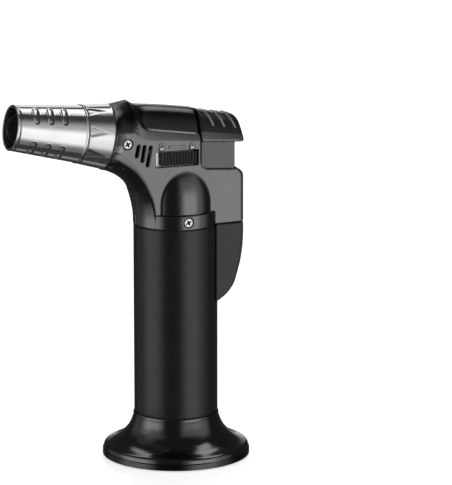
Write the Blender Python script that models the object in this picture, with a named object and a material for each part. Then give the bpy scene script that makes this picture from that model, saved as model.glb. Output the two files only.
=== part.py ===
"""Hand-held butane torch: flared foot, round fuel tank, bent head, chrome nozzle.

Frame: the origin is under the middle of the whole torch on the surface it stands on,
+Z is up, the nozzle points towards -X and the lock slider is on the -Y side.
Every dimension is in millimetres; MM turns it into Blender's metres. The pieces are
drawn about the tank's axis, which stands FOOT_X from the origin.
"""

import math

import bmesh
import bpy
from mathutils import Matrix, Vector

MM = 0.001
GAP = 0.3
FOOT_X = 21.9

# Foot
FOOT_RADIUS = 31.75
FOOT_TOP = 19.3
SOCKET_RADIUS = 17.2
SHELF_TOP = 9.6
DIAL_RADIUS = 11.4
DIAL_BOTTOM = 2.6
PLATE_BOTTOM = 1.4
PLATE_TOP = 3.0

# Tank
TANK_RADIUS = 18.0
SLEEVE_WALL = 0.8
SLEEVE_TOP = 101.6
VESSEL_WALL = 1.6
VESSEL_TOP = 100.0
CAP_TOP = 102.0

# Gas valve, beside the tank's axis so that the lever has room behind it
VALVE_X = -4.0
LEVER_X = 0.6
LEVER_Z = 114.0
LEVER_REAR_ARM = 12.0
LEVER_FRONT_ARM = 4.6
LEVER_TILT = 15.0
LEVER_HALF_WIDTH = 3.4

# Head
COLLAR_RADIUS = 18.1
COLLAR_BOTTOM = 101.9
COLLAR_TOP = 108.3
PANEL_Y = 12.0
LEDGE_Y = 9.5
CREASE_Y = 10.6
BLOCK_BOTTOM = 102.4
DOME_RADIUS = 16.4
DOME_SHOULDER = 112.0
DOME_TOP = 126.0
WALL = 1.8
CAVITY_Y = PANEL_Y - WALL
WELL_FRONT, WELL_REAR, WELL_Y = 7.2, 23.7, 10.7
WELL_BOTTOM, WELL_EDGE = 112.2, 126.6

# Nozzle: stations are distances behind the mouth along the nozzle's axis
MOUTH_X, MOUTH_Z = -74.0, 148.24
NOZZLE_TILT = 9.0
MOUTH_RADIUS = 9.62
BARREL_TAPER = 0.0887
BEAD_STATION, BEAD_RADIUS = 30.2, 12.75
COLLAR_END, COLLAR_END_RADIUS = 42.2, 14.0
HEAD_FACE, HEAD_FACE_RADIUS = 42.5, 14.0
HEAD_RIM, HEAD_RIM_RADIUS = 49.5, 16.4
BURNER_FRONT, BURNER_REAR, BURNER_RADIUS = 8.0, 50.0, 7.3
ELECTRODE_OFFSET = 3.6

# Igniter button
STEM_FRONT, STEM_REAR, STEM_Y = 7.6, 23.3, 10.4
STEM_BOTTOM, STEM_TOP = 119.6, 140.0
CAP_Y, CAP_CREASE_Y = 11.8, 10.8
PIEZO_X = 18.0
PIEZO_RADIUS = 3.3

# Lock slider
WINDOW_FRONT, WINDOW_REAR = -13.4, 5.8
WINDOW_LOW, WINDOW_HIGH = 128.8, 135.2
SLIDER_FRONT, SLIDER_REAR = -11.2, 5.4

# Housing screws: one pair beside the nozzle's end, one pair in the collar
SCREW_HEAD_RADIUS = 1.9
SCREW_SEAT_RADIUS, SCREW_HOLE_RADIUS = 2.15, 1.3
FRONT_SCREW_STATION, FRONT_SCREW_OFFSET = 48.6, -1.0
COLLAR_SCREW_X, COLLAR_SCREW_Z = -1.1, 105.2

ROUND = 32
SMALL_ROUND = 16


# ---------------------------------------------------------------- materials

def finish(name, colour, roughness, metallic=0.0):
    """A Principled material."""
    made = bpy.data.materials.get(name) or bpy.data.materials.new(name)
    made.use_nodes = True
    shader = made.node_tree.nodes["Principled BSDF"]
    shader.inputs["Base Color"].default_value = (*colour, 1.0)
    shader.inputs["Roughness"].default_value = roughness
    shader.inputs["Metallic"].default_value = metallic
    return made


def black_gloss():
    return finish("black_gloss", (0.012, 0.012, 0.013), 0.22)


def gunmetal():
    return finish("gunmetal", (0.2, 0.201, 0.205), 0.15, 1.0)


def tank_black():
    return finish("tank_black", (0.014, 0.014, 0.015), 0.5)


def chrome():
    return finish("chrome", (0.86, 0.87, 0.88), 0.1, 1.0)


def steel():
    return finish("steel", (0.6, 0.6, 0.61), 0.3, 1.0)


def brass():
    return finish("brass", (0.78, 0.57, 0.24), 0.3, 1.0)


def rubber():
    return finish("rubber", (0.02, 0.02, 0.02), 0.8)


def ceramic():
    return finish("ceramic", (0.88, 0.86, 0.8), 0.4)


def inner_plastic():
    return finish("inner_plastic", (0.32, 0.33, 0.34), 0.5)


# ---------------------------------------------------------------- shape helpers

def clear_scene():
    for old in list(bpy.data.objects):
        bpy.data.objects.remove(old, do_unlink=True)


def placed(made, parent):
    """Links an object under its parent, or under the empty on the tank's axis."""
    tank_axis = bpy.data.objects.get("tank_axis")
    bpy.context.scene.collection.objects.link(made)
    if made != tank_axis:
        made.parent = parent or tank_axis
    return made


def solid(name, shape, material, parent=None):
    """A mesh object in millimetres of its parent's frame, made from a bmesh."""
    bmesh.ops.delete(shape, geom=[e for e in shape.edges if not e.link_faces], context="EDGES")
    bmesh.ops.recalc_face_normals(shape, faces=shape.faces)
    bmesh.ops.scale(shape, verts=shape.verts, vec=(MM, MM, MM))
    mesh = bpy.data.meshes.new(name)
    shape.to_mesh(mesh)
    shape.free()
    mesh.shade_smooth()
    mesh.set_sharp_from_angle(angle=math.radians(32))
    if material:
        mesh.materials.append(material)
    return placed(bpy.data.objects.new(name, mesh), parent)


def anchor(name, x, y, z, pitch=0.0):
    """An empty on a joint's axis or at the nozzle's mouth; pitch turns it about Y."""
    made = placed(bpy.data.objects.new(name, None), None)
    made.location = (x * MM, y * MM, z * MM)
    made.rotation_euler = (0.0, math.radians(pitch), 0.0)
    made.empty_display_size = 10 * MM
    return made


def turned(name, outline, material, parent=None, sides=ROUND, shift=(0.0, 0.0, 0.0)):
    """A closed (radius, height) outline turned about the local Z axis."""
    shape = bmesh.new()
    points = [shape.verts.new((radius, 0.0, height)) for radius, height in outline]
    edges = [shape.edges.new(pair) for pair in zip(points, points[1:] + points[:1])]
    bmesh.ops.spin(shape, geom=points + edges, cent=(0, 0, 0), axis=(0, 0, 1),
                   angle=math.tau, steps=sides, use_merge=True)
    bmesh.ops.remove_doubles(shape, verts=shape.verts, dist=0.001)
    bmesh.ops.translate(shape, verts=shape.verts, vec=shift)
    return solid(name, shape, material, parent)


def tube(name, outer, inner, low, high, material, parent=None, sides=ROUND, shift=(0, 0, 0)):
    outline = [(inner, low), (outer, low), (outer, high), (inner, high)]
    return turned(name, outline, material, parent, sides, shift)


def torus(name, radius, wire, height, material, parent=None, sides=24, shift=(0, 0, 0)):
    ring = [(radius + wire * math.cos(a), height + wire * math.sin(a))
            for a in (math.tau * k / 6 for k in range(6))]
    return turned(name, ring, material, parent, sides, shift)


def prism(name, outline, low, high, material=None, parent=None):
    """An (x, z) outline extruded along Y."""
    shape = bmesh.new()
    face = shape.faces.new([shape.verts.new((x, low, z)) for x, z in outline])
    grown = bmesh.ops.extrude_face_region(shape, geom=[face])["geom"]
    bmesh.ops.translate(shape, vec=(0, high - low, 0),
                        verts=[g for g in grown if isinstance(g, bmesh.types.BMVert)])
    return solid(name, shape, material, parent)


def block(name, low, high, material=None, parent=None):
    outline = [(low[0], low[2]), (high[0], low[2]), (high[0], high[2]), (low[0], high[2])]
    return prism(name, outline, low[1], high[1], material, parent)


def rod(name, start, end, radius, material=None, parent=None, sides=SMALL_ROUND):
    """A round bar between two points."""
    start, end = Vector(start), Vector(end)
    run = end - start
    shape = bmesh.new()
    turn = run.to_track_quat("Z", "Y").to_matrix().to_4x4()
    bmesh.ops.create_cone(shape, cap_ends=True, segments=sides, radius1=radius, radius2=radius,
                          depth=run.length, matrix=Matrix.Translation((start + end) / 2) @ turn)
    return solid(name, shape, material, parent)


def wire(name, points, radius, material, parent=None, resolution=2):
    """A round wire or hose through the points."""
    curve = bpy.data.curves.new(name, "CURVE")
    curve.dimensions = "3D"
    curve.bevel_depth = radius * MM
    curve.bevel_resolution = resolution
    curve.use_fill_caps = True
    line = curve.splines.new("POLY")
    line.points.add(len(points) - 1)
    for spot, point in zip(line.points, points):
        spot.co = (*(c * MM for c in point), 1.0)
    curve.materials.append(material)
    return placed(bpy.data.objects.new(name, curve), parent)


def smooth_route(points, steps=5):
    """Catmull-Rom points through a hand-chosen route."""
    route = [Vector(p) for p in points]
    ends = [route[0] * 2 - route[1]] + route + [route[-1] * 2 - route[-2]]
    line = []
    for a, b, c, d in zip(ends, ends[1:], ends[2:], ends[3:]):
        for k in range(steps):
            t = k / steps
            line.append(0.5 * (2 * b + (c - a) * t + (2 * a - 5 * b + 4 * c - d) * t ** 2
                               + (3 * b - a - 3 * c + d) * t ** 3))
    return line + [route[-1]]


def coil(name, centre, radius, thickness, low, high, turns, material, parent=None):
    """A compression spring about a vertical line through centre."""
    steps = 8
    points = []
    for k in range(turns * steps + 1):
        a = math.tau * k / steps
        height = low + (high - low) * k / (turns * steps)
        points.append((centre[0] + radius * math.cos(a), centre[1] + radius * math.sin(a), height))
    return wire(name, points, thickness, material, parent, resolution=0)


def as_tool(made):
    """Marks a cutter or a blank, which isn't a piece of the torch."""
    made.hide_render = True
    made.display_type = "WIRE"
    return made


def combine(made, other, operation):
    step = made.modifiers.new(operation.lower(), "BOOLEAN")
    step.operation = operation
    step.object = as_tool(other)
    return made


def cut(made, *tools):
    for other in tools:
        combine(made, other, "DIFFERENCE")
    return made


def add(made, *others):
    for other in others:
        combine(made, other, "UNION")
    return made


def lofted(name, outline_at, levels, material=None):
    """A solid that is symmetric about Y = 0, bridged from its side outlines at each level."""
    shape = bmesh.new()
    stations = [-y for y in reversed(levels)] + [y for y in levels if y > 0]
    rings = [[shape.verts.new((x, y, z)) for x, z in outline_at(abs(y))] for y in stations]
    for ring, following in zip(rings, rings[1:]):
        count = len(ring)
        for k in range(count):
            corners = (ring[k], ring[(k + 1) % count],
                       following[(k + 1) % count], following[k])
            shape.faces.new(corners)
    shape.faces.new(rings[0])
    shape.faces.new(rings[-1])
    bmesh.ops.triangulate(shape, faces=shape.faces)
    return solid(name, shape, material)


def evaluated(blank, name, material):
    """A new object that holds the blank's finished mesh."""
    graph = bpy.context.evaluated_depsgraph_get()
    mesh = bpy.data.meshes.new_from_object(blank.evaluated_get(graph))
    mesh.name = name
    mesh.materials.clear()
    mesh.materials.append(material)
    return placed(bpy.data.objects.new(name, mesh), None)


# ---------------------------------------------------------------- nozzle frame

def along(station, offset=0.0):
    """(x, z) of a point on the nozzle: behind the mouth, and above the axis."""
    tilt = math.radians(NOZZLE_TILT)
    return (MOUTH_X + station * math.cos(tilt) + offset * math.sin(tilt),
            MOUTH_Z - station * math.sin(tilt) + offset * math.cos(tilt))


def barrel_radius(station):
    return MOUTH_RADIUS + BARREL_TAPER * station


# ---------------------------------------------------------------- foot

def make_foot():
    bell = [(FOOT_RADIUS, 0.4), (FOOT_RADIUS, 2.2), (31.45, 2.5), (31.4, 3.9), (30.9, 5.0),
            (29.3, 6.7), (25.5, 8.7), (21.9, 10.9), (20.1, 13.1), (19.0, 15.3), (18.5, 18.0),
            (18.2, FOOT_TOP), (SOCKET_RADIUS, FOOT_TOP), (SOCKET_RADIUS, SHELF_TOP),
            (6.6, SHELF_TOP), (6.6, 7.6), (19.0, 7.6), (24.0, 6.2), (27.6, 4.6), (29.2, 3.4),
            (30.6, 2.8), (30.6, 0.4)]
    turned("foot_flare", bell, gunmetal(), sides=36)
    ring = [(26.9, 0.4), (27.3, 0.0), (29.8, 0.0), (30.2, 0.4), (30.2, 2.3), (28.7, 2.9), (26.9, 2.9)]
    turned("rubber_foot_ring", ring, rubber(), sides=36)


def make_foot_plate():
    plate = tube("foot_plate", 26.4, DIAL_RADIUS + 0.6, PLATE_BOTTOM, PLATE_TOP, black_gloss(), sides=30)
    screw_circle = 19.0
    for index in range(3):
        angle = math.tau * (index + 0.5) / 3
        x, y = screw_circle * math.cos(angle), screw_circle * math.sin(angle)
        hole = rod(f"foot_screw_hole_{index + 1}", (x, y, 0.5), (x, y, 4.0), 1.5, sides=12)
        cut(plate, hole)
        screw = [(0.0, 0.5), (1.9, 0.5), (2.1, 0.9), (2.1, 1.1), (1.1, 1.1), (1.1, 7.2), (0.0, 7.2)]
        turned(f"foot_screw_{index + 1}", screw, steel(), sides=12, shift=(x, y, 0.0))


def make_flame_dial():
    """Knurled ring around the filler valve, keyed to a sleeve that throttles the gas."""
    axis = anchor("flame_dial_axis", 0.0, 0.0, DIAL_BOTTOM)
    ring = [(5.9, 0.0), (DIAL_RADIUS - 1.2, 0.0), (DIAL_RADIUS - 0.6, 0.5),
            (DIAL_RADIUS - 0.6, 4.6), (5.9, 4.6)]
    dial = turned("flame_dial", ring, inner_plastic(), axis, sides=24)
    ribs = 12
    for index in range(ribs):
        angle = math.tau * index / ribs
        reach = DIAL_RADIUS - 0.55
        x, y = reach * math.cos(angle), reach * math.sin(angle)
        rib = rod(f"dial_groove_{index + 1}", (x, y, -0.4), (x, y, 3.6), 0.55, parent=axis, sides=8)
        cut(dial, rib)
    tube("regulator_sleeve", 5.6, 4.8, 4.4, 13.6, brass(), axis, sides=24)


# ---------------------------------------------------------------- tank

def make_tank():
    tube("tank_sleeve", TANK_RADIUS, TANK_RADIUS - SLEEVE_WALL, FOOT_TOP + GAP, SLEEVE_TOP,
         tank_black(), sides=40)
    outer = TANK_RADIUS - SLEEVE_WALL - GAP
    inner = outer - VESSEL_WALL
    floor = SHELF_TOP + GAP
    vessel = [(6.2, floor), (outer, floor), (outer, VESSEL_TOP), (inner, VESSEL_TOP),
              (inner, floor + 2.0), (6.2, floor + 2.0)]
    turned("fuel_tank", vessel, inner_plastic(), sides=28)


def make_tank_cap():
    inner = TANK_RADIUS - SLEEVE_WALL - GAP - VESSEL_WALL - GAP
    lid = [(0.0, 97.0), (inner, 97.0), (inner, VESSEL_TOP + GAP), (16.8, VESSEL_TOP + GAP),
           (16.8, 101.6), (15.4, CAP_TOP), (15.4, 106.6), (12.6, 106.6), (12.6, CAP_TOP), (0.0, CAP_TOP)]
    cap = turned("tank_cap", lid, inner_plastic(), sides=28)
    cut(cap, rod("cap_valve_hole", (VALVE_X, 0, 96), (VALVE_X, 0, 103), 3.9, sides=20),
        rod("cap_piezo_relief", (PIEZO_X, 0, 103.6), (PIEZO_X, 0, 108), PIEZO_RADIUS + 0.5))
    for side in (-1, 1):
        cut(cap, rod(f"cap_screw_hole_{side}", (COLLAR_SCREW_X, side * 11, COLLAR_SCREW_Z),
                     (COLLAR_SCREW_X, side * 16, COLLAR_SCREW_Z), SCREW_HOLE_RADIUS, sides=10))
    torus("tank_cap_seal", 14.4, 0.45, 96.3, rubber(), sides=20)
    tube("pickup_tube", 1.4, 0.8, 18.0, 95.6, inner_plastic(), sides=10, shift=(VALVE_X, 0, 0))


# ---------------------------------------------------------------- filler valve

def make_filler_valve():
    axis = anchor("filler_axis", 0.0, 0.0, 0.0)
    body = [(1.5, 3.6), (4.5, 3.6), (4.5, 15.0), (1.0, 15.0), (1.0, 14.0), (2.7, 14.0),
            (2.7, 7.6), (1.5, 6.6)]
    turned("filler_valve_body", body, brass(), sides=24)
    stem = [(0.0, 4.0), (1.2, 4.0), (1.2, 7.9), (2.4, 7.9), (2.4, 9.0), (0.8, 9.0), (0.8, 10.0),
            (0.0, 10.0)]
    turned("filler_valve_stem", stem, brass(), axis, sides=16)
    coil("filler_valve_spring", (0, 0), 1.9, 0.25, 9.4, 13.6, 4, steel())
    torus("filler_valve_seal", 6.8, 0.5, 12.6, rubber(), sides=16)


# ---------------------------------------------------------------- gas valve and lever

def make_gas_valve():
    axis = anchor("gas_valve_axis", VALVE_X, 0.0, 0.0)
    body = [(1.0, 96.0), (3.6, 96.0), (3.6, 103.2), (5.2, 103.2), (5.2, 104.8), (3.6, 104.8),
            (3.6, 110.6), (1.7, 110.6), (1.7, 109.2), (2.7, 109.2), (2.7, 98.0), (1.0, 98.0)]
    turned("gas_valve_body", body, brass(), sides=20, shift=(VALVE_X, 0, 0))
    stem = [(0.0, 98.4), (2.4, 98.4), (2.4, 99.8), (1.3, 99.8), (1.3, 114.4), (2.5, 114.4),
            (2.5, 115.6), (1.1, 115.6), (0.9, 119.2), (0.0, 119.2)]
    turned("gas_valve_stem", stem, brass(), axis, sides=16)
    coil("gas_valve_spring", (VALVE_X, 0), 2.0, 0.25, 100.3, 108.8, 5, steel())
    torus("gas_valve_seal", 4.5, 0.28, 102.6, rubber(), sides=16, shift=(VALVE_X, 0, 0))


def make_lever():
    """Rocking lever: the button presses its rear end and its fork lifts the valve stem."""
    axis = anchor("lever_axis", LEVER_X, 0.0, LEVER_Z, -LEVER_TILT)
    half = 0.8
    arm = [(-LEVER_FRONT_ARM - 1.6, -half), (-1.8, -half), (-1.4, -2.2), (1.4, -2.2), (1.8, -half),
           (LEVER_REAR_ARM, -half), (LEVER_REAR_ARM + 0.6, 0.0), (LEVER_REAR_ARM, half),
           (1.8, half), (1.4, 2.2), (-1.4, 2.2), (-1.8, half), (-LEVER_FRONT_ARM - 1.6, half)]
    lever = prism("valve_lever", arm, -LEVER_HALF_WIDTH, LEVER_HALF_WIDTH, steel(), axis)
    slot = block("lever_fork_slot", (-LEVER_FRONT_ARM - 3, -1.75, -3), (-1.75, 1.75, 3), parent=axis)
    hole = rod("lever_pin_hole", (0, -6, 0), (0, 6, 0), 1.15, parent=axis)
    cut(lever, slot, hole)
    rod("lever_pin", (LEVER_X, -9.6, LEVER_Z), (LEVER_X, 9.6, LEVER_Z), 1.0, steel())


def make_gas_hose():
    route = [(VALVE_X, 0, 119.6), (VALVE_X, 0, 123.0), (-3.2, 0, 127.5), (-1.0, 0, 132.0),
             (-1.2, 0, 135.6), (-4.2, 0, 137.5), along_point(66.6)]
    wire("gas_hose", smooth_route(route, 3), 1.4, rubber(), resolution=1)


def along_point(station, y=0.0, offset=0.0):
    x, z = along(station, offset)
    return (x, y, z)


# ---------------------------------------------------------------- head outlines

def roundness(y, half_width):
    """1 on the middle plane, falling to 0 at half_width like an ellipse."""
    return math.sqrt(max(0.0, 1.0 - (y / half_width) ** 2))


def arch(y, half_width):
    """1 on the middle plane, falling to 0 at half_width without quite turning upright."""
    return 1.0 - min(1.0, y / half_width) ** 2.3


def rear_x(y):
    """Rear face of the block and the tail: slightly convex, with rounded vertical edges."""
    return 25.4 + 2.6 * math.sqrt(max(0.0, 1.0 - (y / PANEL_Y) ** 4))


def between(first, second, share):
    return tuple(a + (b - a) * share for a, b in zip(first, second))


def head_outline(y):
    """The head's (x, z) side outline at a distance y from the middle plane."""
    rear = rear_x(y)
    outline = [(rear, BLOCK_BOTTOM), (rear, 122.6), (rear - 0.5, 123.9), (rear - 1.7, 125.0),
               (WELL_REAR, 127.1), (WELL_REAR - 0.6, 125.9), (10.2, WELL_EDGE), (8.2, 127.5),
               (WELL_FRONT, 129.8)]
    outline += roof_points(y)
    outline += front_points(y)
    outline += neck_points(y)
    return outline


def roof_points(y):
    """The arch's side line down to a narrow ledge, then the band above the flat panel."""
    ridge = [(8.2, 151.4), (4.1, 152.1), (-6.4, 153.5), (-13.0, 154.2), (-16.0, 154.5),
             (-18.0, 154.7), (-19.4, 154.9)]
    crease = [(WELL_FRONT, 141.7), (4.1, 142.1), (-6.4, 143.6), (-16.2, 145.2), (-18.4, 146.6),
              (-20.0, 148.5), (-20.8, 150.0)]
    border = [(WELL_FRONT, 138.8), (4.1, 139.1), (-5.3, 139.9), (-14.7, 140.6), (-20.0, 141.9),
              (-23.2, 144.5), (-25.3, 147.6)]
    if y <= CREASE_Y:
        return [between(low, high, arch(y, LEDGE_Y)) for low, high in zip(crease, ridge)]
    share = (y - CREASE_Y) / (PANEL_Y - CREASE_Y)
    return [between(high, low, share) for high, low in zip(crease, border)]


def front_points(y):
    """The ridge, then the flat face that the nozzle's collar meets."""
    bulge = roundness(y, PANEL_Y)
    station = HEAD_RIM - 5.2 * (1.0 - bulge)
    slope = (HEAD_RIM_RADIUS - HEAD_FACE_RADIUS) / (HEAD_RIM - HEAD_FACE)
    radius = HEAD_FACE_RADIUS + slope * (station - HEAD_FACE)
    return [along(station, math.sqrt(radius ** 2 - y ** 2)),
            along(HEAD_FACE, math.sqrt(HEAD_FACE_RADIUS ** 2 - y ** 2)),
            along(HEAD_FACE, -4.0 - (HEAD_FACE_RADIUS - 4.0) * bulge)]


def neck_points(y):
    """The bend under the nozzle, from the front face down to the collar."""
    middle = [(-31.2, 126.7), (-27.0, 124.5), (-23.3, 121.5), (-21.0, 118.6), (-20.0, 116.2),
              (-19.3, 112.8), (-18.8, 108.6), (-COLLAR_RADIUS, COLLAR_BOTTOM)]
    side = [(-29.7, 136.0), (-26.0, 132.9), (-22.3, 129.1), (-18.5, 123.5), (-16.7, 119.8),
            (-14.8, 114.8), (-13.7, 108.6), (-13.55, COLLAR_BOTTOM)]
    return [between(low, high, roundness(y, PANEL_Y)) for low, high in zip(side, middle)]


def head_blank():
    """The whole head as one solid, before it is hollowed and split."""
    levels = [0.0, 3.0, 5.6, 7.8, LEDGE_Y, CREASE_Y, 11.3, 11.8, PANEL_Y]
    blank = lofted("head_blank", head_outline, levels)
    arc = [(math.sqrt(PANEL_Y ** 2 + (DOME_RADIUS ** 2 - PANEL_Y ** 2) * (1 - k * k)),
            DOME_SHOULDER + (DOME_TOP - DOME_SHOULDER) * k) for k in (0.0, 0.3, 0.55, 0.75, 0.9, 1.0)]
    barrel = [(0.0, COLLAR_BOTTOM), (COLLAR_RADIUS, COLLAR_BOTTOM), (COLLAR_RADIUS, COLLAR_TOP - 0.4),
              (COLLAR_RADIUS - 0.4, COLLAR_TOP), (DOME_RADIUS, COLLAR_TOP)] + arc + [(0.0, DOME_TOP)]
    add(blank, turned("collar_and_dome", barrel, None, sides=40))
    mouth = anchor("head_face_frame", *along_point(0.0), 90 + NOZZLE_TILT)
    face = [(0.0, HEAD_FACE), (HEAD_FACE_RADIUS - 0.1, HEAD_FACE), (12.9, 44.6), (12.0, 46.6),
            (11.0, 47.5), (0.0, 47.5)]
    add(blank, turned("head_face_ring", face, None, mouth, sides=32))
    return blank


def hollow_head(blank):
    """Cuts the room for the works, the button's well and the nozzle's socket."""
    main = [(-15.4, 104.0), (-15.4, 113.0), (-17.2, 119.0), (-21.8, 125.6), (-27.8, 129.6),
            (-29.8, 133.0), (-28.6, 141.0), (-23.6, 145.6), (-17.0, 142.8), (-6.0, 141.0),
            (5.2, 139.4), (5.2, 125.0), (24.7, 123.0), (24.7, 104.2)]
    roof = [(-18.6, 138.0), (-18.2, 149.6), (5.4, 146.6), (5.4, 138.0)]
    bore = [(0.0, 100.0), (15.8, 100.0), (15.8, 106.9), (14.6, 108.0), (14.6, 113.0),
            (13.2, 118.0), (10.0, 122.0), (0.0, 122.0)]
    mouth = bpy.data.objects["head_face_frame"]
    socket = [(0.0, 38.0), (11.4, 38.0), (11.4, 52.0), (0.0, 52.0)]
    cut(blank,
        prism("main_room", main, -CAVITY_Y, CAVITY_Y),
        prism("roof_room", roof, -6.0, 6.0),
        turned("collar_bore", bore, None, sides=40),
        block("button_well", (WELL_FRONT, -WELL_Y, WELL_BOTTOM), (WELL_REAR, WELL_Y, 160.0)),
        turned("nozzle_socket", socket, None, mouth, sides=32))


def slot_cutter(name, top, bottom, width, low, high):
    """A round-ended vent through a side wall."""
    (x1, z1), (x2, z2) = top, bottom
    run = Vector((x2 - x1, z2 - z1)).normalized()
    side = Vector((-run.y, run.x)) * width / 2
    outline = []
    for centre, start in ((Vector((x1, z1)) + run * width / 2, 0.0),
                          (Vector((x2, z2)) - run * width / 2, math.pi)):
        for k in range(5):
            angle = start + math.pi * k / 4
            spot = centre + side * math.cos(angle) - run * math.sin(angle) * width / 2
            outline.append((spot.x, spot.y))
    return prism(name, outline, low, high)


def cut_vents(blank):
    vents = [((-21.1, 139.1), (-22.3, 133.7)), ((-18.5, 138.7), (-19.7, 131.6)),
             ((-15.7, 138.3), (-17.4, 129.5))]
    for index, (top, bottom) in enumerate(vents):
        for side in (-1, 1):
            low, high = sorted((side * 9.0, side * 14.0))
            cut(blank, slot_cutter(f"vent_cut_{index}_{side}", top, bottom, 1.2, low, high))


def cut_screw_seats(blank):
    front, collar = along(FRONT_SCREW_STATION, FRONT_SCREW_OFFSET), (COLLAR_SCREW_X, COLLAR_SCREW_Z)
    for side in (-1, 1):
        seats = [(*front, 12.6, 11.1, SCREW_SEAT_RADIUS), (*front, 12.6, 9.0, SCREW_HOLE_RADIUS),
                 (*collar, 18.6, 17.0, SCREW_SEAT_RADIUS), (*collar, 18.6, 14.0, SCREW_HOLE_RADIUS)]
        for index, (sx, sz, outside, inside, radius) in enumerate(seats):
            cut(blank, rod(f"screw_seat_{index}_{side}", (sx, side * outside, sz),
                           (sx, side * inside, sz), radius, sides=16))


def make_housing():
    """Two moulded halves that meet on the middle plane."""
    blank = head_blank()
    hollow_head(blank)
    cut_vents(blank)
    cut_screw_seats(blank)
    for name, low, high in (("housing_left", -30.0, -GAP / 2), ("housing_right", GAP / 2, 30.0)):
        half = evaluated(blank, name, gunmetal())
        keep = block(f"{name}_side", (-60.0, low, 80.0), (60.0, high, 180.0))
        combine(half, keep, "INTERSECT")
        if low < -1:
            window = block("lock_window", (WINDOW_FRONT, -14, WINDOW_LOW), (WINDOW_REAR, -9, WINDOW_HIGH))
            cut(half, window)
    bpy.data.objects.remove(blank, do_unlink=True)


def make_housing_screws():
    front = (*along(FRONT_SCREW_STATION, FRONT_SCREW_OFFSET), 12.1, 3.2)
    collar = (COLLAR_SCREW_X, COLLAR_SCREW_Z, 18.2, 4.6)
    places = [("housing_screw_front_left", -1, *front), ("housing_screw_front_right", 1, *front),
              ("collar_screw_left", -1, *collar), ("collar_screw_right", 1, *collar)]
    for name, side, sx, sz, outside, length in places:
        screw = [(0.0, 0.0), (1.35, 0.0), (SCREW_HEAD_RADIUS, 0.45), (SCREW_HEAD_RADIUS, 0.8),
                 (1.0, 0.8), (1.0, length), (0.0, length)]
        spot = anchor(f"{name}_seat", sx, side * outside, sz)
        spot.rotation_euler = (math.radians(90 * side), 0.0, 0.0)
        made = turned(name, screw, steel(), spot, sides=16)
        for turn in (0, 1):
            size = (1.1, 0.25, 0.6) if turn else (0.25, 1.1, 0.6)
            low = (-size[0], -size[1], -0.5)
            cut(made, block(f"{name}_cross_{turn}", low, (size[0], size[1], 0.5), parent=spot))


# ---------------------------------------------------------------- rear cover

def tail_outline(y):
    shift = rear_x(y) - rear_x(10.7)
    profile = [(27.0, 102.1), (27.0, 98.0), (26.7, 92.0), (25.8, 86.0), (24.8, 82.0), (23.9, 79.0),
               (23.0, 76.2), (21.6, 73.8), (19.6, 71.5), (17.2, 69.6), (14.6, 68.1), (12.6, 67.4)]
    return [(8.0, 102.1)] + [(x + shift, z) for x, z in profile] + [(8.0, 67.4)]


def make_rear_cover():
    cover = lofted("rear_cover", tail_outline, [0.0, 5.0, 8.0, 10.0, 11.4, PANEL_Y], black_gloss())
    room = [(10.0, 100.4), (24.4, 100.4), (24.0, 90.0), (22.4, 81.0), (19.0, 75.6), (10.0, 74.0)]
    clear = rod("tank_clearance", (0, 0, 60), (0, 0, 110), TANK_RADIUS + GAP, sides=64)
    cut(cover, prism("cover_room", room, -CAVITY_Y, CAVITY_Y), clear)


# ---------------------------------------------------------------- igniter button

def button_outline(y):
    """The cap's side outline: an arched top that ends on a crease above a steep skirt."""
    top = [(8.6, 151.2), (12.6, 150.6), (16.7, 150.0), (20.6, 149.4), (23.6, 148.7),
           (25.6, 147.5), (27.1, 145.2), (28.0, 141.6), (28.3, 137.4)]
    crease = [(7.5, 142.5), (12.4, 141.8), (16.4, 141.2), (20.2, 140.6), (23.2, 140.2),
              (25.2, 139.9), (26.5, 139.7), (27.3, 139.3), (27.7, 137.5)]
    hem = [(7.5, 139.0), (12.4, 138.6), (16.4, 138.3), (20.2, 138.0), (23.2, 137.8),
           (24.8, 137.7), (25.6, 137.5), (26.2, 137.3), (26.7, 137.0)]
    if y <= CAP_CREASE_Y:
        line = [between(low, high, arch(y, CAP_CREASE_Y)) for low, high in zip(crease, top)]
    else:
        share = (y - CAP_CREASE_Y) / (CAP_Y - CAP_CREASE_Y)
        line = [between(high, low, share) for high, low in zip(crease, hem)]
    return line + [(line[-1][0] - 1.2, 136.7), (7.5, 137.8)]


def make_button():
    axis = anchor("button_axis", PIEZO_X, 0.0, STEM_BOTTOM)
    levels = [0.0, 3.5, 6.2, 8.2, 9.6, CAP_CREASE_Y, CAP_Y]
    button = lofted("igniter_button", button_outline, levels, black_gloss())
    stem = block("button_stem", (STEM_FRONT, -STEM_Y, STEM_BOTTOM), (STEM_REAR, STEM_Y, STEM_TOP))
    room = block("button_room", (9.1, -8.9, 110.0), (21.8, 8.9, 138.4))
    crown = prism("button_crown_room", [(9.6, 137.0), (9.8, 146.0), (21.0, 144.6), (21.4, 137.0)],
                  -6.4, 6.4)
    ribs = prism("button_ribs", [(10.8, 118.7), (13.8, 118.7), (13.8, 126.0), (22.4, 126.0),
                                 (22.4, 128.0), (10.8, 128.0)], -9.3, 9.3)
    sides = [block(f"presser_side_{side}", (9.0, min(side * 4.6, side * 12), 116.0),
                   (15.0, max(side * 4.6, side * 12), 124.0)) for side in (-1, 1)]
    add(button, stem)
    cut(button, room, crown)
    add(button, cut(ribs, *sides))
    for made in (button, stem, room, crown, ribs, *sides):
        made.parent = axis
        made.matrix_parent_inverse = Matrix.Translation(-Vector(axis.location))


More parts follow.
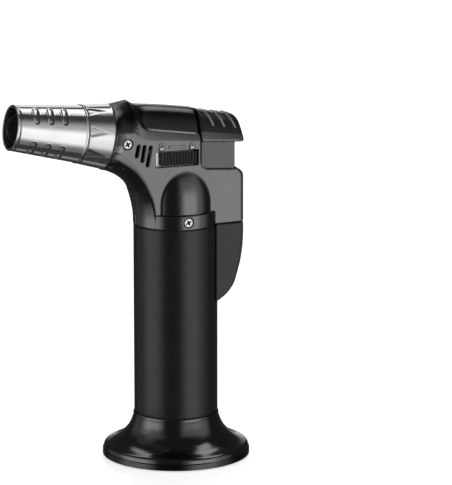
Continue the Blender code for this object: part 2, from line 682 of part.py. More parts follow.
def make_piezo():
    body = [(0.0, 104.6), (PIEZO_RADIUS, 104.6), (PIEZO_RADIUS, 117.6), (2.7, 117.6), (2.7, 106.4),
            (0.0, 106.4)]
    turned("piezo_body", body, inner_plastic(), sides=16, shift=(PIEZO_X, 0, 0))
    plunger = [(0.0, 114.2), (2.4, 114.2), (2.4, 125.7), (0.0, 125.7)]
    turned("piezo_plunger", plunger, ceramic(), sides=16, shift=(PIEZO_X, 0, 0))
    coil("button_spring", (PIEZO_X, 0), 3.0, 0.25, 118.2, 125.4, 4, steel())


# ---------------------------------------------------------------- lock

def make_lock():
    axis = anchor("lock_axis", SLIDER_FRONT, -PANEL_Y, WINDOW_LOW)
    plate = [(SLIDER_FRONT, WINDOW_LOW + 0.4), (SLIDER_REAR, WINDOW_LOW + 0.4),
             (SLIDER_REAR, WINDOW_HIGH - 0.4), (SLIDER_FRONT, WINDOW_HIGH - 0.4)]
    slider = prism("lock_slider", plate, -12.3, -10.4, black_gloss())
    pitch = 1.4
    for index in range(7):
        x = SLIDER_REAR - 1.3 - pitch * index
        cut(slider, block(f"slider_groove_{index}", (x - 0.25, -13, 128), (x + 0.25, -11.8, 136)))
    carriage = block("lock_carriage", (-16.0, -9.9, 127.6), (4.9, -8.5, 136.2), inner_plastic())
    for made in (slider, carriage):
        made.parent = axis
        made.matrix_parent_inverse = Matrix.Translation(-Vector(axis.location))
    leaf = [(-12.0, 126.2), (-6.5, 127.0), (-5.5, 127.3), (-4.5, 127.0), (1.0, 126.2),
            (1.0, 125.7), (-4.7, 126.5), (-5.5, 126.7), (-6.3, 126.5), (-12.0, 125.7)]
    prism("lock_detent_spring", leaf, -9.9, -8.5, steel())


# ---------------------------------------------------------------- nozzle

def make_nozzle():
    """Chrome flame tube with its bead and collar, and the burner inside it."""
    mouth = anchor("nozzle_axis", *along_point(0.0), 90 + NOZZLE_TILT)
    step = 29.0
    shell = [(MOUTH_RADIUS - 1.0, 0.0), (MOUTH_RADIUS - 0.2, 0.0), (MOUTH_RADIUS + 0.1, 0.4),
             (MOUTH_RADIUS + 0.1, 1.1), (barrel_radius(1.5) - 0.25, 1.5), (barrel_radius(step), step),
             (10.9, step + 0.01), (10.9, 45.4), (10.1, 45.4), (10.1, step - 2.0),
             (MOUTH_RADIUS - 1.0, 1.5)]
    turned("flame_tube", shell, chrome(), mouth, sides=32)
    bead = [(11.3, BEAD_STATION - 0.8), (12.2, BEAD_STATION - 0.8), (BEAD_RADIUS, BEAD_STATION - 0.3),
            (BEAD_RADIUS, BEAD_STATION + 0.3), (12.2, BEAD_STATION + 0.8), (11.3, BEAD_STATION + 0.8)]
    turned("nozzle_bead_ring", bead, chrome(), mouth, sides=32)
    flare = [(11.3, BEAD_STATION + 1.1), (12.5, BEAD_STATION + 1.1), (12.6, BEAD_STATION + 1.5),
             (COLLAR_END_RADIUS - 0.1, COLLAR_END - 0.5), (COLLAR_END_RADIUS, COLLAR_END),
             (11.3, COLLAR_END)]
    turned("nozzle_collar", flare, chrome(), mouth, sides=32)
    make_burner(mouth)


def make_burner(mouth):
    tube("burner_tube", BURNER_RADIUS, 6.5, BURNER_FRONT, BURNER_REAR, steel(), mouth, sides=20)
    holder = turned("flame_holder", [(0.0, 15.0), (6.2, 15.0), (6.2, 17.0), (0.0, 17.0)],
                    brass(), mouth, sides=20)
    for index in range(6):
        angle = math.tau * index / 6
        x, y = -ELECTRODE_OFFSET * math.cos(angle), ELECTRODE_OFFSET * math.sin(angle)
        cut(holder, rod(f"holder_hole_{index}", (x, y, 14), (x, y, 18), 1.1, parent=mouth, sides=10))
    cut(holder, rod("holder_hole_middle", (0, 0, 14), (0, 0, 18), 1.6, parent=mouth, sides=12))
    plug = turned("burner_plug", [(0.0, 44.0), (6.2, 44.0), (6.2, 49.0), (0.0, 49.0)],
                  steel(), mouth, sides=20)
    lift = -ELECTRODE_OFFSET
    cut(plug, rod("plug_middle_hole", (0, 0, 43), (0, 0, 50), 2.4, parent=mouth),
        rod("plug_side_hole", (lift, 0, 43), (lift, 0, 50), 1.5, parent=mouth, sides=12))
    ring = tube("nozzle_mount_ring", 10.9, BURNER_RADIUS + GAP, 45.8, 51.6, steel(), mouth, sides=20)
    for side in (-1, 1):
        cut(ring, rod(f"ring_screw_hole_{side}", (-FRONT_SCREW_OFFSET, side * 5, FRONT_SCREW_STATION),
                      (-FRONT_SCREW_OFFSET, side * 12, FRONT_SCREW_STATION), SCREW_HOLE_RADIUS,
                      parent=mouth, sides=12))
    tube("mixing_tube", 2.1, 1.3, 26.0, 57.0, brass(), mouth, sides=16)
    jet = [(0.3, 57.3), (1.6, 57.3), (3.2, 58.4), (3.2, 62.4), (1.2, 62.8), (1.0, 66.2),
           (0.5, 66.2), (0.5, 58.6), (0.3, 58.4)]
    turned("gas_jet", jet, brass(), mouth, sides=16)
    tube("electrode_insulator", 1.15, 0.65, 22.0, 51.0, ceramic(), mouth, sides=12, shift=(lift, 0, 0))
    rod("electrode", (lift, 0, 11.0), (lift, 0, 52.4), 0.35, steel(), mouth, sides=8)


def make_ignition_lead():
    """From the piezo's foot, past the valve on the +Y side, to the electrode."""
    route = [(14.2, 2.6, 109.0), (11.0, 5.4, 109.4), (6.0, 7.4, 110.8), (3.6, 8.0, 114.0),
             (0.4, 8.0, 118.6), (-3.8, 7.8, 123.4), (-8.6, 7.6, 129.4), (-13.2, 6.6, 135.2),
             (-16.4, 5.8, 139.4), (-18.6, 3.2, 142.2), along_point(53.0, offset=ELECTRODE_OFFSET)]
    wire("ignition_lead", smooth_route(route, 3), 0.6, rubber(), resolution=0)


def main():
    clear_scene()
    anchor("tank_axis", FOOT_X, 0.0, 0.0)
    make_foot()
    make_foot_plate()
    make_flame_dial()
    make_tank()
    make_tank_cap()
    make_filler_valve()
    make_gas_valve()
    make_lever()
    make_gas_hose()
    make_housing()
    make_housing_screws()
    make_rear_cover()
    make_button()
    make_piezo()
    make_lock()
    make_nozzle()
    make_ignition_lead()


main()
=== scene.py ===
"""Butane torch for a jeweller's bench: the looks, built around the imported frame.

Shapes are drawn in millimetres about the tank's axis (X towards the rear, Y across,
Z up from the surface that the torch stands on) and moved to the row frame by place().
"""

import math

import bmesh
import bpy
import numpy as np
from mathutils import Matrix, Vector


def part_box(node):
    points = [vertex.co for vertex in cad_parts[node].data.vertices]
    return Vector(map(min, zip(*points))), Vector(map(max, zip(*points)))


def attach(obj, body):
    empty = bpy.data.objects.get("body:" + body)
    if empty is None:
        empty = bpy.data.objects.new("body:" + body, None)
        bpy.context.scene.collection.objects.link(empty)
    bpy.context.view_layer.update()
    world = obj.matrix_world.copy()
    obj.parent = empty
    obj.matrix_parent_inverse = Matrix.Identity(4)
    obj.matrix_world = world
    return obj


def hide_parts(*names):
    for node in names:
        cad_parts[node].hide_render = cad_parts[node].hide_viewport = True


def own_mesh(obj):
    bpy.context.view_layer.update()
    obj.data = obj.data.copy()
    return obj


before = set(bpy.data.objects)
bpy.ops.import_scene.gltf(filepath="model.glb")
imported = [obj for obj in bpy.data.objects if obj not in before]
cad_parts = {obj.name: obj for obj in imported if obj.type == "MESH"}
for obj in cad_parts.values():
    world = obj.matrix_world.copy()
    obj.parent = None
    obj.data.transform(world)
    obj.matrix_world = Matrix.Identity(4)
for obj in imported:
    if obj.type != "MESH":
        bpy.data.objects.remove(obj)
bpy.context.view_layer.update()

MM = 0.001
GAP = 0.3  # between parts that face each other
TANK_LOW, TANK_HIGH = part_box("tank_sleeve")
AXIS_X = (TANK_LOW.x + TANK_HIGH.x) / 2 / MM

# Head: flat side panel, the crease above it, and the narrow ledge under the roof
PANEL_Y, CREASE_Y, LEDGE_Y = 12.0, 10.6, 9.5
COLLAR_RADIUS, COLLAR_BOTTOM, COLLAR_TOP = 18.1, 101.9, 108.1
BLOCK_BOTTOM = 102.4
DOME_RADIUS, DOME_SHOULDER, DOME_TOP = 16.4, 112.0, 126.0
CAVITY_Y = 10.2
WELL_FRONT, WELL_REAR, WELL_Y = 7.2, 23.7, 10.7
WELL_BOTTOM, WELL_EDGE = 112.2, 126.6

# Nozzle: stations are distances behind the mouth along the nozzle's axis
MOUTH_X, MOUTH_Z, NOZZLE_TILT = -74.0, 148.24, math.radians(9.0)
MOUTH_RADIUS, BARREL_TAPER = 9.62, 0.0887
BEAD_STATION, BEAD_RADIUS = 30.2, 12.75
COLLAR_END, COLLAR_END_RADIUS = 42.2, 14.0
HEAD_FACE, HEAD_FACE_RADIUS = 42.5, 14.0
HEAD_RIM, HEAD_RIM_RADIUS = 49.5, 16.4

# The front's half width and top by station, and the height where its side begins to turn in
FRONT_HALF_WIDTH = [(41.0, 14.2), (43.0, 13.9), (44.4, 13.2), (46.0, 12.6), (47.5, 12.3), (56.0, 12.3)]
FRONT_TOP = [(41.0, 13.8), (42.5, 14.1), (49.5, 16.6), (53.0, 22.0), (58.0, 60.0)]
FRONT_TURN, FRONT_POWER = 1.8, 1.5

# Lock: lowest and highest X, then lowest and highest Z
WINDOW = (-13.4, 5.8, 128.8, 135.2)
SLIDER = (-11.2, 5.4, 129.2, 134.8)

FOOT_BAND_TOP = 2.9  # the foot's upright edge ends here
VALVE_X, PIEZO_X = -4.0, 18.0  # upright axes of the gas valve and of the igniter


# ------------------------------------------------------------------ node materials

def feed(tree, socket, value):
    """Links another node's output into a socket, or sets the socket's own value."""
    if hasattr(value, "is_output"):
        tree.links.new(value, socket)
    else:
        socket.default_value = value


def map_range(tree, value, start, end, low, high):
    """A node that spreads value from start..end over low..high."""
    made = tree.nodes.new("ShaderNodeMapRange")
    for socket, number in (("Value", value), ("From Min", start), ("From Max", end), ("To Min", low),
                           ("To Max", high)):
        feed(tree, made.inputs[socket], number)
    return made


class Shader:
    """A small builder for a procedural Principled material."""

    def __init__(self, name, colour, roughness, metallic=0.0, **sockets):
        self.material = bpy.data.materials.new(name)
        self.material.use_nodes = True
        self.tree = self.material.node_tree
        self.main = self.tree.nodes["Principled BSDF"]
        self.main.inputs["Base Color"].default_value = (*colour, 1.0)
        self.main.inputs["Roughness"].default_value = roughness
        self.main.inputs["Metallic"].default_value = metallic
        for socket, value in sockets.items():
            self.main.inputs[socket.replace("_", " ")].default_value = value

    def node(self, kind, **inputs):
        made = self.tree.nodes.new(kind)
        for socket, value in inputs.items():
            feed(self.tree, made.inputs[socket], value)
        return made

    def noise(self, scale, detail, stretch=None):
        """Noise over the piece's own coordinates, which follow it into any pose."""
        vector = self.node("ShaderNodeTexCoord").outputs["Object"]
        if stretch:
            vector = self.node("ShaderNodeMapping", Vector=vector, Scale=stretch).outputs["Vector"]
        return self.node("ShaderNodeTexNoise", Vector=vector, Scale=scale, Detail=detail).outputs["Fac"]

    def ranged(self, value, low, high, start=0.3, end=0.7):
        return map_range(self.tree, value, start, end, low, high).outputs["Result"]

    def mixed(self, share, first, second):
        """A colour that goes from first to second with share."""
        made = self.node("ShaderNodeMix")
        made.data_type = "RGBA"
        for index, value in ((0, share), (6, first), (7, second)):
            feed(self.tree, made.inputs[index], (*value, 1.0) if isinstance(value, tuple) else value)
        return made.outputs[2]

    def attribute(self, name):
        """A mask that some pieces carry at their points; on the others it reads 0."""
        made = self.node("ShaderNodeAttribute")
        made.attribute_name = name
        return made.outputs["Fac"]

    def bump(self, height, strength):
        made = self.node("ShaderNodeBump", Height=height, Strength=strength, Distance=0.0002)
        self.wire(made.outputs["Normal"], "Normal")

    def wire(self, output, socket):
        self.tree.links.new(output, self.main.inputs[socket])


def cloudy(name, base, tones, rough, sheen, grain=None, strength=0.05, cloud=(160.0, 4.0), share=1.0,
           metallic=0.0, stretch=None, **sockets):
    """A cloudy mixture of two tones, with varied roughness and a fine grain.

    base is the plain (colour, roughness) underneath, and rough the (lowest, highest) roughness.
    sheen, grain and cloud are each the (scale, detail) of a noise; sheen also serves as grain
    where no grain is given.
    """
    shader = Shader(name, *base, metallic, **sockets)
    shader.paint = shader.mixed(shader.ranged(shader.noise(*cloud), 0.0, share), *tones)
    shader.wire(shader.paint, "Base Color")
    marks = shader.noise(*sheen, stretch=stretch)
    shader.wire(shader.ranged(marks, *rough), "Roughness")
    shader.bump(shader.noise(*grain) if grain else marks, strength)
    return shader


def gunmetal(name, smooth, rough, shade=0.17):
    """Dark metallic lacquer, with painted shade where a piece's shade mask is 1 and a painted highlight where
    its 'panel' mask is.
    """
    tones = [(tone, tone, 1.02 * tone) for tone in (0.95 * shade, 1.05 * shade)]
    shader = cloudy(name, ((shade, shade, 1.02 * shade), rough), tones, (smooth, rough), (700.0, 3.0),
                    (3000.0, 2.0), cloud=(120.0, 4.0), metallic=1.0)
    fleck = shader.ranged(shader.noise(5200.0, 1.0), 0.0, 0.3, 0.55, 0.8)
    flecked = shader.mixed(fleck, shader.paint, (1.3 * shade, 1.3 * shade, 1.33 * shade))
    # Painted shade: much darker lacquer where the piece's shade mask is 1.
    deep = shader.mixed(shader.attribute("deep"), flecked, (0.35 * shade, 0.35 * shade, 0.36 * shade))
    # Painted highlight: bright lacquer where the piece's 'panel' mask is 1.
    shader.wire(shader.mixed(shader.attribute("panel"), deep, (0.38, 0.38, 0.385)), "Base Color")
    return shader.material


def button_finish_and_highlight():
    """Gloss black, dark metallic lacquer where 'panel' is 1, and a painted highlight where the crest mask is.
    """
    black = (0.013, 0.013, 0.014)
    shader = cloudy("button_finish_and_highlight", (black, 0.2), ((0.145, 0.146, 0.149), (0.162, 0.163, 0.166)),
                    (0.2, 0.3), (900.0, 3.0), (3000.0, 2.0), cloud=(120.0, 4.0))
    panel = shader.attribute("panel")
    lacquered = shader.mixed(panel, black, shader.paint)
    # Painted highlight along the ribs' crests.
    shader.wire(shader.mixed(shader.attribute("crest"), lacquered, (0.4, 0.4, 0.405)), "Base Color")
    shader.wire(panel, "Metallic")
    return shader.material


def metal(name, colour, lighter, rough):
    """Turned or drawn metal: fine marks along one way and a soft mottle."""
    return cloudy(name, (colour, rough), (colour, lighter), (rough - 0.07, rough + 0.1), (900.0, 4.0),
                  strength=0.1, cloud=(240.0, 4.0), metallic=1.0, stretch=(1.0, 1.0, 30.0)).material


def moulded(name, colour, lighter, rough, grain=1800.0, strength=0.15):
    return cloudy(name, (colour, rough), (colour, lighter), (rough - 0.05, rough + 0.08), (grain, 3.0),
                  strength=strength, cloud=(220.0, 3.0)).material


def white_studio_floor():
    shader = Shader("studio_floor", (0.9, 0.9, 0.9), 0.22)
    cloud = shader.ranged(shader.noise(3.0, 2.0), 0.0, 1.0)
    shader.wire(shader.mixed(cloud, (0.9, 0.9, 0.9), (0.93, 0.93, 0.93)), "Base Color")
    shader.main.inputs["Emission Color"].default_value = (1.0, 1.0, 1.0, 1.0)
    shader.main.inputs["Emission Strength"].default_value = 0.62
    return shader.material


GLOSS = cloudy("gloss_black", ((0.012, 0.012, 0.013), 0.16),
               ((0.0105, 0.0105, 0.0115), (0.018, 0.018, 0.0195)), (0.12, 0.24), (420.0, 4.0),
               (2600.0, 2.0), 0.04, share=0.5).material
GUNMETAL = gunmetal("gunmetal", 0.15, 0.23)
FOOT_GLOSS = gunmetal("gunmetal_gloss", 0.1, 0.15)
# Painted shade: a darker copy of the lacquer for the foot's upright band by the floor.
FOOT_BAND_SHADE = gunmetal("gunmetal_band_shade", 0.14, 0.2, 0.08)
BUTTON = button_finish_and_highlight()
TAIL_PLASTIC = moulded("tail_plastic", (0.03, 0.03, 0.031), (0.04, 0.04, 0.042), 0.36, 2600.0, 0.06)
TANK = cloudy("tank_coat", ((0.014, 0.014, 0.0145), 0.3), ((0.0125, 0.0125, 0.0132), (0.018, 0.018, 0.019)),
              (0.26, 0.36), (700.0, 4.0), (3600.0, 2.0), 0.08, share=0.5, Specular_IOR_Level=0.6).material
CHROME = cloudy("polished_chrome", ((0.83, 0.84, 0.86), 0.08), ((0.80, 0.81, 0.83), (0.88, 0.885, 0.895)),
                (0.06, 0.14), (260.0, 5.0), (900.0, 2.0), 0.03, cloud=(90.0, 4.0), metallic=1.0).material
NICKEL = metal("nickel", (0.72, 0.72, 0.73), (0.84, 0.84, 0.84), 0.2)
STEEL = metal("bright_steel", (0.52, 0.52, 0.53), (0.64, 0.64, 0.645), 0.3)
BRASS = metal("turned_brass", (0.66, 0.46, 0.18), (0.8, 0.6, 0.27), 0.28)
BURNER = cloudy("heat_steel", ((0.45, 0.44, 0.43), 0.34), ((0.2, 0.2, 0.2), (0.36, 0.35, 0.34)),
                (0.3, 0.48), (900.0, 4.0), strength=0.12, cloud=(150.0, 5.0), metallic=1.0).material
RUBBER = moulded("rubber", (0.016, 0.016, 0.017), (0.026, 0.026, 0.026), 0.7, 1400.0, 0.3)
CERAMIC = moulded("ceramic", (0.8, 0.78, 0.72), (0.9, 0.88, 0.83), 0.3, 2600.0, 0.06)
INNER = moulded("inner_plastic", (0.28, 0.29, 0.3), (0.34, 0.35, 0.36), 0.45)
LIGHT_PLATE = metal("light_plate", (0.74, 0.74, 0.75), (0.82, 0.82, 0.82), 0.38)
SLIDER_PLASTIC = moulded("slider_plastic", (0.03, 0.03, 0.031), (0.04, 0.04, 0.042), 0.28, 2600.0, 0.06)


# ------------------------------------------------------------------ meshes

def place(points):
    """Millimetres about the tank's axis to metres in the row frame."""
    points = np.asarray(points, float).reshape(-1, 3)
    return (points + (AXIS_X, 0.0, 0.0)) * MM


def added(name, data):
    """An object in the scene."""
    made = bpy.data.objects.new(name, data)
    bpy.context.scene.collection.objects.link(made)
    return made


def enrol(name, mesh, body, nodes):
    """Puts a mesh into the scene, riding on a body and standing for CAD nodes."""
    made = added(name, mesh)
    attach(made, body)
    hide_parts(*nodes)
    return made


def piece(name, points, faces, material, body, nodes, crisp=42.0):
    """A mesh piece from points in millimetres, riding on a body and standing for CAD nodes."""
    mesh = bpy.data.meshes.new(name)
    mesh.from_pydata(place(points).tolist(), [], [list(map(int, f)) for f in faces])
    shape = bmesh.new()
    shape.from_mesh(mesh)
    bmesh.ops.remove_doubles(shape, verts=shape.verts, dist=1e-7)
    bmesh.ops.recalc_face_normals(shape, faces=shape.faces)
    shape.to_mesh(mesh)
    shape.free()
    mesh.shade_smooth()
    mesh.set_sharp_from_angle(angle=math.radians(crisp))
    mesh.materials.append(material)
    return enrol(name, mesh, body, nodes)


def turned_piece(name, outline, segments, spot, material, body, node, relief=None):
    """A piece whose outline is turned about an axis, as spun() describes."""
    points, faces = spun(outline, segments, spot, relief)
    return piece(name, points, faces, material, body, [node])


def filleted(outline, radius, steps=4, closed=True):
    """Rounds the corners of a polyline; a corner on the turning axis (x = 0) is kept."""
    points = [Vector(p) for p in outline]
    count = len(points)
    result = []
    for k, here in enumerate(points):
        if not closed and k in (0, count - 1):
            result.append(tuple(here))
            continue
        back, ahead = points[k - 1] - here, points[(k + 1) % count] - here
        if abs(here.x) < 1e-6 or back.length < 1e-6 or ahead.length < 1e-6:
            result.append(tuple(here))
            continue
        angle = back.angle(ahead)
        if angle > math.radians(174):
            result.append(tuple(here))
            continue
        reach = min(radius / math.tan(angle / 2), back.length * 0.45, ahead.length * 0.45)
        first, last = here + back.normalized() * reach, here + ahead.normalized() * reach
        for step in range(steps + 1):
            t = step / steps
            spot = first * (1 - t) ** 2 + here * 2 * t * (1 - t) + last * t ** 2
            result.append(tuple(spot))
    return result


def spun(outline, segments, spot, relief=None):
    """Points and faces of a closed (radius, height) outline turned about an axis.

    spot(radius, height, angle) gives a point, and relief(radius, height, angle) a change
    of radius. Outline points on the axis become single points.
    """
    points, rows = [], []
    for radius, height in outline:
        if radius < 1e-6:
            rows.append([len(points)] * segments)
            points.append(spot(0.0, height, 0.0))
            continue
        start = len(points)
        for k in range(segments):
            angle = math.tau * k / segments
            change = relief(radius, height, angle) if relief else 0.0
            points.append(spot(radius + change, height, angle))
        rows.append(list(range(start, start + segments)))
    faces = []
    for row, after in zip(rows, rows[1:] + rows[:1]):
        for k in range(segments):
            n = (k + 1) % segments
            face = []
            for index in (row[k], row[n], after[n], after[k]):
                if index not in face:
                    face.append(index)
            if len(face) > 2:
                faces.append(face)
    return points, faces


def upright(radius, height, angle):
    """Turns about the tank's axis."""
    return (radius * math.cos(angle), radius * math.sin(angle), height)


def on_nozzle(radius, station, angle):
    """Turns about the nozzle's axis: angle 0 faces -Y and a quarter turn faces up."""
    x, z = along(station, radius * math.sin(angle))
    return (x, -radius * math.cos(angle), z)


def along(station, offset=0.0):
    """The (x, z) of a station on the nozzle's axis, or offset above it."""
    return (MOUTH_X + station * math.cos(NOZZLE_TILT) + offset * math.sin(NOZZLE_TILT),
            MOUTH_Z - station * math.sin(NOZZLE_TILT) + offset * math.cos(NOZZLE_TILT))


def nozzle_place(x, z):
    """The (station, offset) of an (x, z), which undoes along()."""
    dx, dz = x - MOUTH_X, z - MOUTH_Z
    return (dx * math.cos(NOZZLE_TILT) - dz * math.sin(NOZZLE_TILT),
            dx * math.sin(NOZZLE_TILT) + dz * math.cos(NOZZLE_TILT))


def dense(outline, pitch):
    """The polyline with extra points, so that no step is longer than pitch."""
    result = []
    for (x1, z1), (x2, z2) in zip(outline, outline[1:] + outline[:1]):
        steps = max(1, math.ceil(math.hypot(x2 - x1, z2 - z1) / pitch))
        result += [(x1 + (x2 - x1) * k / steps, z1 + (z2 - z1) * k / steps) for k in range(steps)]
    return result


# ------------------------------------------------------------------ implicit solids

def curve_through(points, steps=6):
    """A Catmull-Rom curve through points, which keeps its first and last."""
    route = [np.array(p, float) for p in points]
    ends = [2 * route[0] - route[1]] + route + [2 * route[-1] - route[-2]]
    line = []
    for a, b, c, d in zip(ends, ends[1:], ends[2:], ends[3:]):
        for k in range(steps):
            t = k / steps
            line.append(0.5 * (2 * b + (c - a) * t + (2 * a - 5 * b + 4 * c - d) * t ** 2
                               + (3 * b - a - 3 * c + d) * t ** 3))
    line.append(route[-1])
    return np.array(line)


def flat_distance(px, pz, outline):
    """Signed distance of points to a closed outline, negative inside."""
    outline = np.asarray(outline, float)
    best = np.full(px.shape, 1e9)
    inside = np.zeros(px.shape, bool)
    following = np.roll(outline, -1, axis=0)
    for (x1, z1), (x2, z2) in zip(outline, following):
        ex, ez = x2 - x1, z2 - z1
        length = ex * ex + ez * ez
        if length < 1e-12:
            continue
        wx, wz = px - x1, pz - z1
        t = np.clip((wx * ex + wz * ez) / length, 0.0, 1.0)
        best = np.minimum(best, (wx - t * ex) ** 2 + (wz - t * ez) ** 2)
        crosses = (z1 > pz) != (z2 > pz)
        if abs(ez) > 1e-12:
            inside ^= crosses & (px < x1 + (pz - z1) * ex / ez)
    return np.where(inside, -1.0, 1.0) * np.sqrt(best)


def meet(a, b, radius):
    """Intersection of two fields whose shared edge is rounded."""
    if radius <= 0:
        return np.maximum(a, b)
    return (np.minimum(np.maximum(a, b), -radius)
            + np.hypot(np.maximum(a + radius, 0), np.maximum(b + radius, 0)))


def join(a, b, radius):
    """Union of two fields whose shared corner is filled by a fillet."""
    return -meet(-a, -b, radius)


class Grid:
    """A regular lattice of points in millimetres, and fields over it."""

    def __init__(self, low, high, pitch):
        self.pitch = pitch
        self.low = np.array(low, float)
        counts = [int(math.ceil((b - a) / pitch)) + 1 for a, b in zip(low, high)]
        self.x, self.y, self.z = (self.low[k] + pitch * np.arange(counts[k]) for k in range(3))
        self.gx, self.gz = np.meshgrid(self.x, self.z, indexing="ij")

    def layer(self, low, high):
        """Everything between two planes across Y."""
        return np.maximum(low - self.y, self.y - high)[None, :, None]

    def prism(self, outline, low, high, radius=0.0):
        """An (x, z) outline extruded along Y."""
        side = flat_distance(self.gx, self.gz, outline)[:, None, :]
        return meet(side, self.layer(low, high), radius)

    def box(self, low, high, radius=0.0):
        outline = [(low[0], low[2]), (high[0], low[2]), (high[0], high[2]), (low[0], high[2])]
        return self.prism(outline, low[1], high[1], radius)

    def loft(self, outline_at, half_width, radius):
        """A solid symmetric about Y = 0 with its own side outline at each level."""
        field = np.empty((len(self.x), len(self.y), len(self.z)))
        known = {}
        for k, y in enumerate(self.y):
            level = round(min(abs(y), half_width), 4)
            if level not in known:
                known[level] = flat_distance(self.gx, self.gz, outline_at(level))
            field[:, k, :] = known[level]
        across = (np.abs(self.y) - half_width)[None, :, None]
        return meet(field, across, radius)

    def upright(self, outline):
        """A (radius, z) outline turned about the tank's axis."""
        return self._turned(outline, self.peg_upright(0.0), self.z[None, None, :])

    def about_nozzle(self, outline):
        """A (radius, station) outline turned about the nozzle's axis."""
        station, offset = nozzle_place(self.gx, self.gz)
        radius = np.hypot(offset[:, None, :], self.y[None, :, None])
        return self._turned(outline, radius, np.broadcast_to(station[:, None, :], self.shape))

    def oval_front(self):
        """The head's front by the nozzle: its side turns inwards above the nozzle's axis."""
        station, offset = nozzle_place(self.gx, self.gz)
        half = np.interp(station, *zip(*FRONT_HALF_WIDTH))
        top = np.interp(station, *zip(*FRONT_TOP))
        rise = np.maximum(offset - FRONT_TURN, 0.0) / (top - FRONT_TURN)
        side = np.abs(self.y[None, :, None]) / half[:, None, :]
        reach = (side ** FRONT_POWER + rise[:, None, :] ** FRONT_POWER) ** (1.0 / FRONT_POWER)
        return (reach - 1.0) * half[:, None, :] * 0.9

    @property
    def shape(self):
        return (len(self.x), len(self.y), len(self.z))

    def _turned(self, outline, radius, height):
        """Reads a finely sampled half-plane field, which is quicker than 3-D distances.

        The outline is joined to its mirror image, so that the axis is no edge of the solid.
        """
        outline = np.asarray(outline, float)
        mirrored = outline[::-1] * (-1.0, 1.0)
        step = 0.1
        r_max = float(radius.max()) + step
        h_low, h_high = float(np.min(height)), float(np.max(height))
        rs = np.arange(0.0, r_max + step, step)
        hs = np.arange(h_low - step, h_high + 2 * step, step)
        gr, gh = np.meshgrid(rs, hs, indexing="ij")
        whole = np.concatenate([outline, mirrored])
        table = flat_distance(gr, gh, whole)
        u = np.clip(np.asarray(radius) / step, 0, len(rs) - 1.001)
        v = np.clip((np.asarray(height) - hs[0]) / step, 0, len(hs) - 1.001)
        u, v = np.broadcast_arrays(u, v)
        i, j = u.astype(int), v.astype(int)
        fu, fv = u - i, v - j
        return (table[i, j] * (1 - fu) * (1 - fv) + table[i + 1, j] * fu * (1 - fv)
                + table[i, j + 1] * (1 - fu) * fv + table[i + 1, j + 1] * fu * fv)

    def peg(self, x, z, radius, low, high):
        """A round bar along Y."""
        side = np.hypot(self.gx - x, self.gz - z)[:, None, :] - radius
        return np.maximum(side, self.layer(low, high))

    def peg_upright(self, radius):
        """An endless vertical cylinder about the tank's axis."""
        side = np.hypot(self.x[:, None], self.y[None, :]) - radius
        return np.broadcast_to(side[:, :, None], self.shape)

    def surface(self, field):
        """Points and quads of the field's zero surface, one point per mixed cell."""
        inside = field < 0
        for axis in range(3):
            edge = [slice(None)] * 3
            for end in (0, -1):
                edge[axis] = end
                inside[tuple(edge)] = False
        value = np.where(inside, np.minimum(field, -1e-5), np.maximum(field, 1e-5))
        corners = np.zeros(tuple(n - 1 for n in field.shape), np.int8)
        parts = (slice(0, -1), slice(1, None))
        for i in (0, 1):
            for j in (0, 1):
                for k in (0, 1):
                    corners += inside[parts[i], parts[j], parts[k]]
        mixed = (corners > 0) & (corners < 8)
        cells = np.argwhere(mixed)
        index = np.full(mixed.shape, -1)
        index[mixed] = np.arange(len(cells))
        total, hits = np.zeros((len(cells), 3)), np.zeros(len(cells))
        for axis in range(3):
            others = [a for a in range(3) if a != axis]
            for i in (0, 1):
                for j in (0, 1):
                    start = cells.copy()
                    start[:, others[0]] += i
                    start[:, others[1]] += j
                    end = start.copy()
                    end[:, axis] += 1
                    fa, fb = value[tuple(start.T)], value[tuple(end.T)]
                    crossing = (fa < 0) != (fb < 0)
                    t = np.where(crossing, fa / np.where(crossing, fa - fb, 1.0), 0.0)
                    spot = start.astype(float)
                    spot[:, axis] += t
                    total[crossing] += spot[crossing]
                    hits += crossing
        points = self.low + self.pitch * total / hits[:, None]
        quads = []
        for axis in range(3):
            others = [a for a in range(3) if a != axis]
            ahead = [slice(None)] * 3
            ahead[axis] = slice(1, None)
            behind = [slice(None)] * 3
            behind[axis] = slice(0, -1)
            edges = np.argwhere(inside[tuple(behind)] != inside[tuple(ahead)])
            ring = []
            for i, j in ((-1, -1), (0, -1), (0, 0), (-1, 0)):
                cell = edges.copy()
                cell[:, others[0]] += i
                cell[:, others[1]] += j
                ring.append(index[tuple(cell.T)])
            quad = np.stack(ring, 1)
            leaving = inside[tuple(edges.T)]
            flip = leaving == (axis != 1)
            quad[flip] = quad[flip][:, ::-1]
            quads.append(quad[:, ::-1])
        return self.settled(points, field), np.concatenate(quads)

    def sample(self, field, points):
        """The field at any points, by trilinear reading."""
        u = (points - self.low) / self.pitch
        limit = np.array(field.shape) - 1.001
        u = np.clip(u, 0, limit)
        i = u.astype(int)
        f = u - i
        result = 0.0
        for dx in (0, 1):
            for dy in (0, 1):
                for dz in (0, 1):
                    weight = ((f[:, 0] if dx else 1 - f[:, 0]) * (f[:, 1] if dy else 1 - f[:, 1])
                              * (f[:, 2] if dz else 1 - f[:, 2]))
                    result = result + weight * field[i[:, 0] + dx, i[:, 1] + dy, i[:, 2] + dz]
        return result

    def settled(self, points, field, rounds=3):
        """Slides the points onto the zero surface along the field's slope."""
        slopes = np.gradient(field, self.pitch)
        for _ in range(rounds):
            value = self.sample(field, points)
            slope = np.stack([self.sample(s, points) for s in slopes], 1)
            size = np.maximum((slope ** 2).sum(1), 0.25)
            move = np.clip(value / size, -0.2 * self.pitch, 0.2 * self.pitch)
            points = points - slope * move[:, None]
        return points


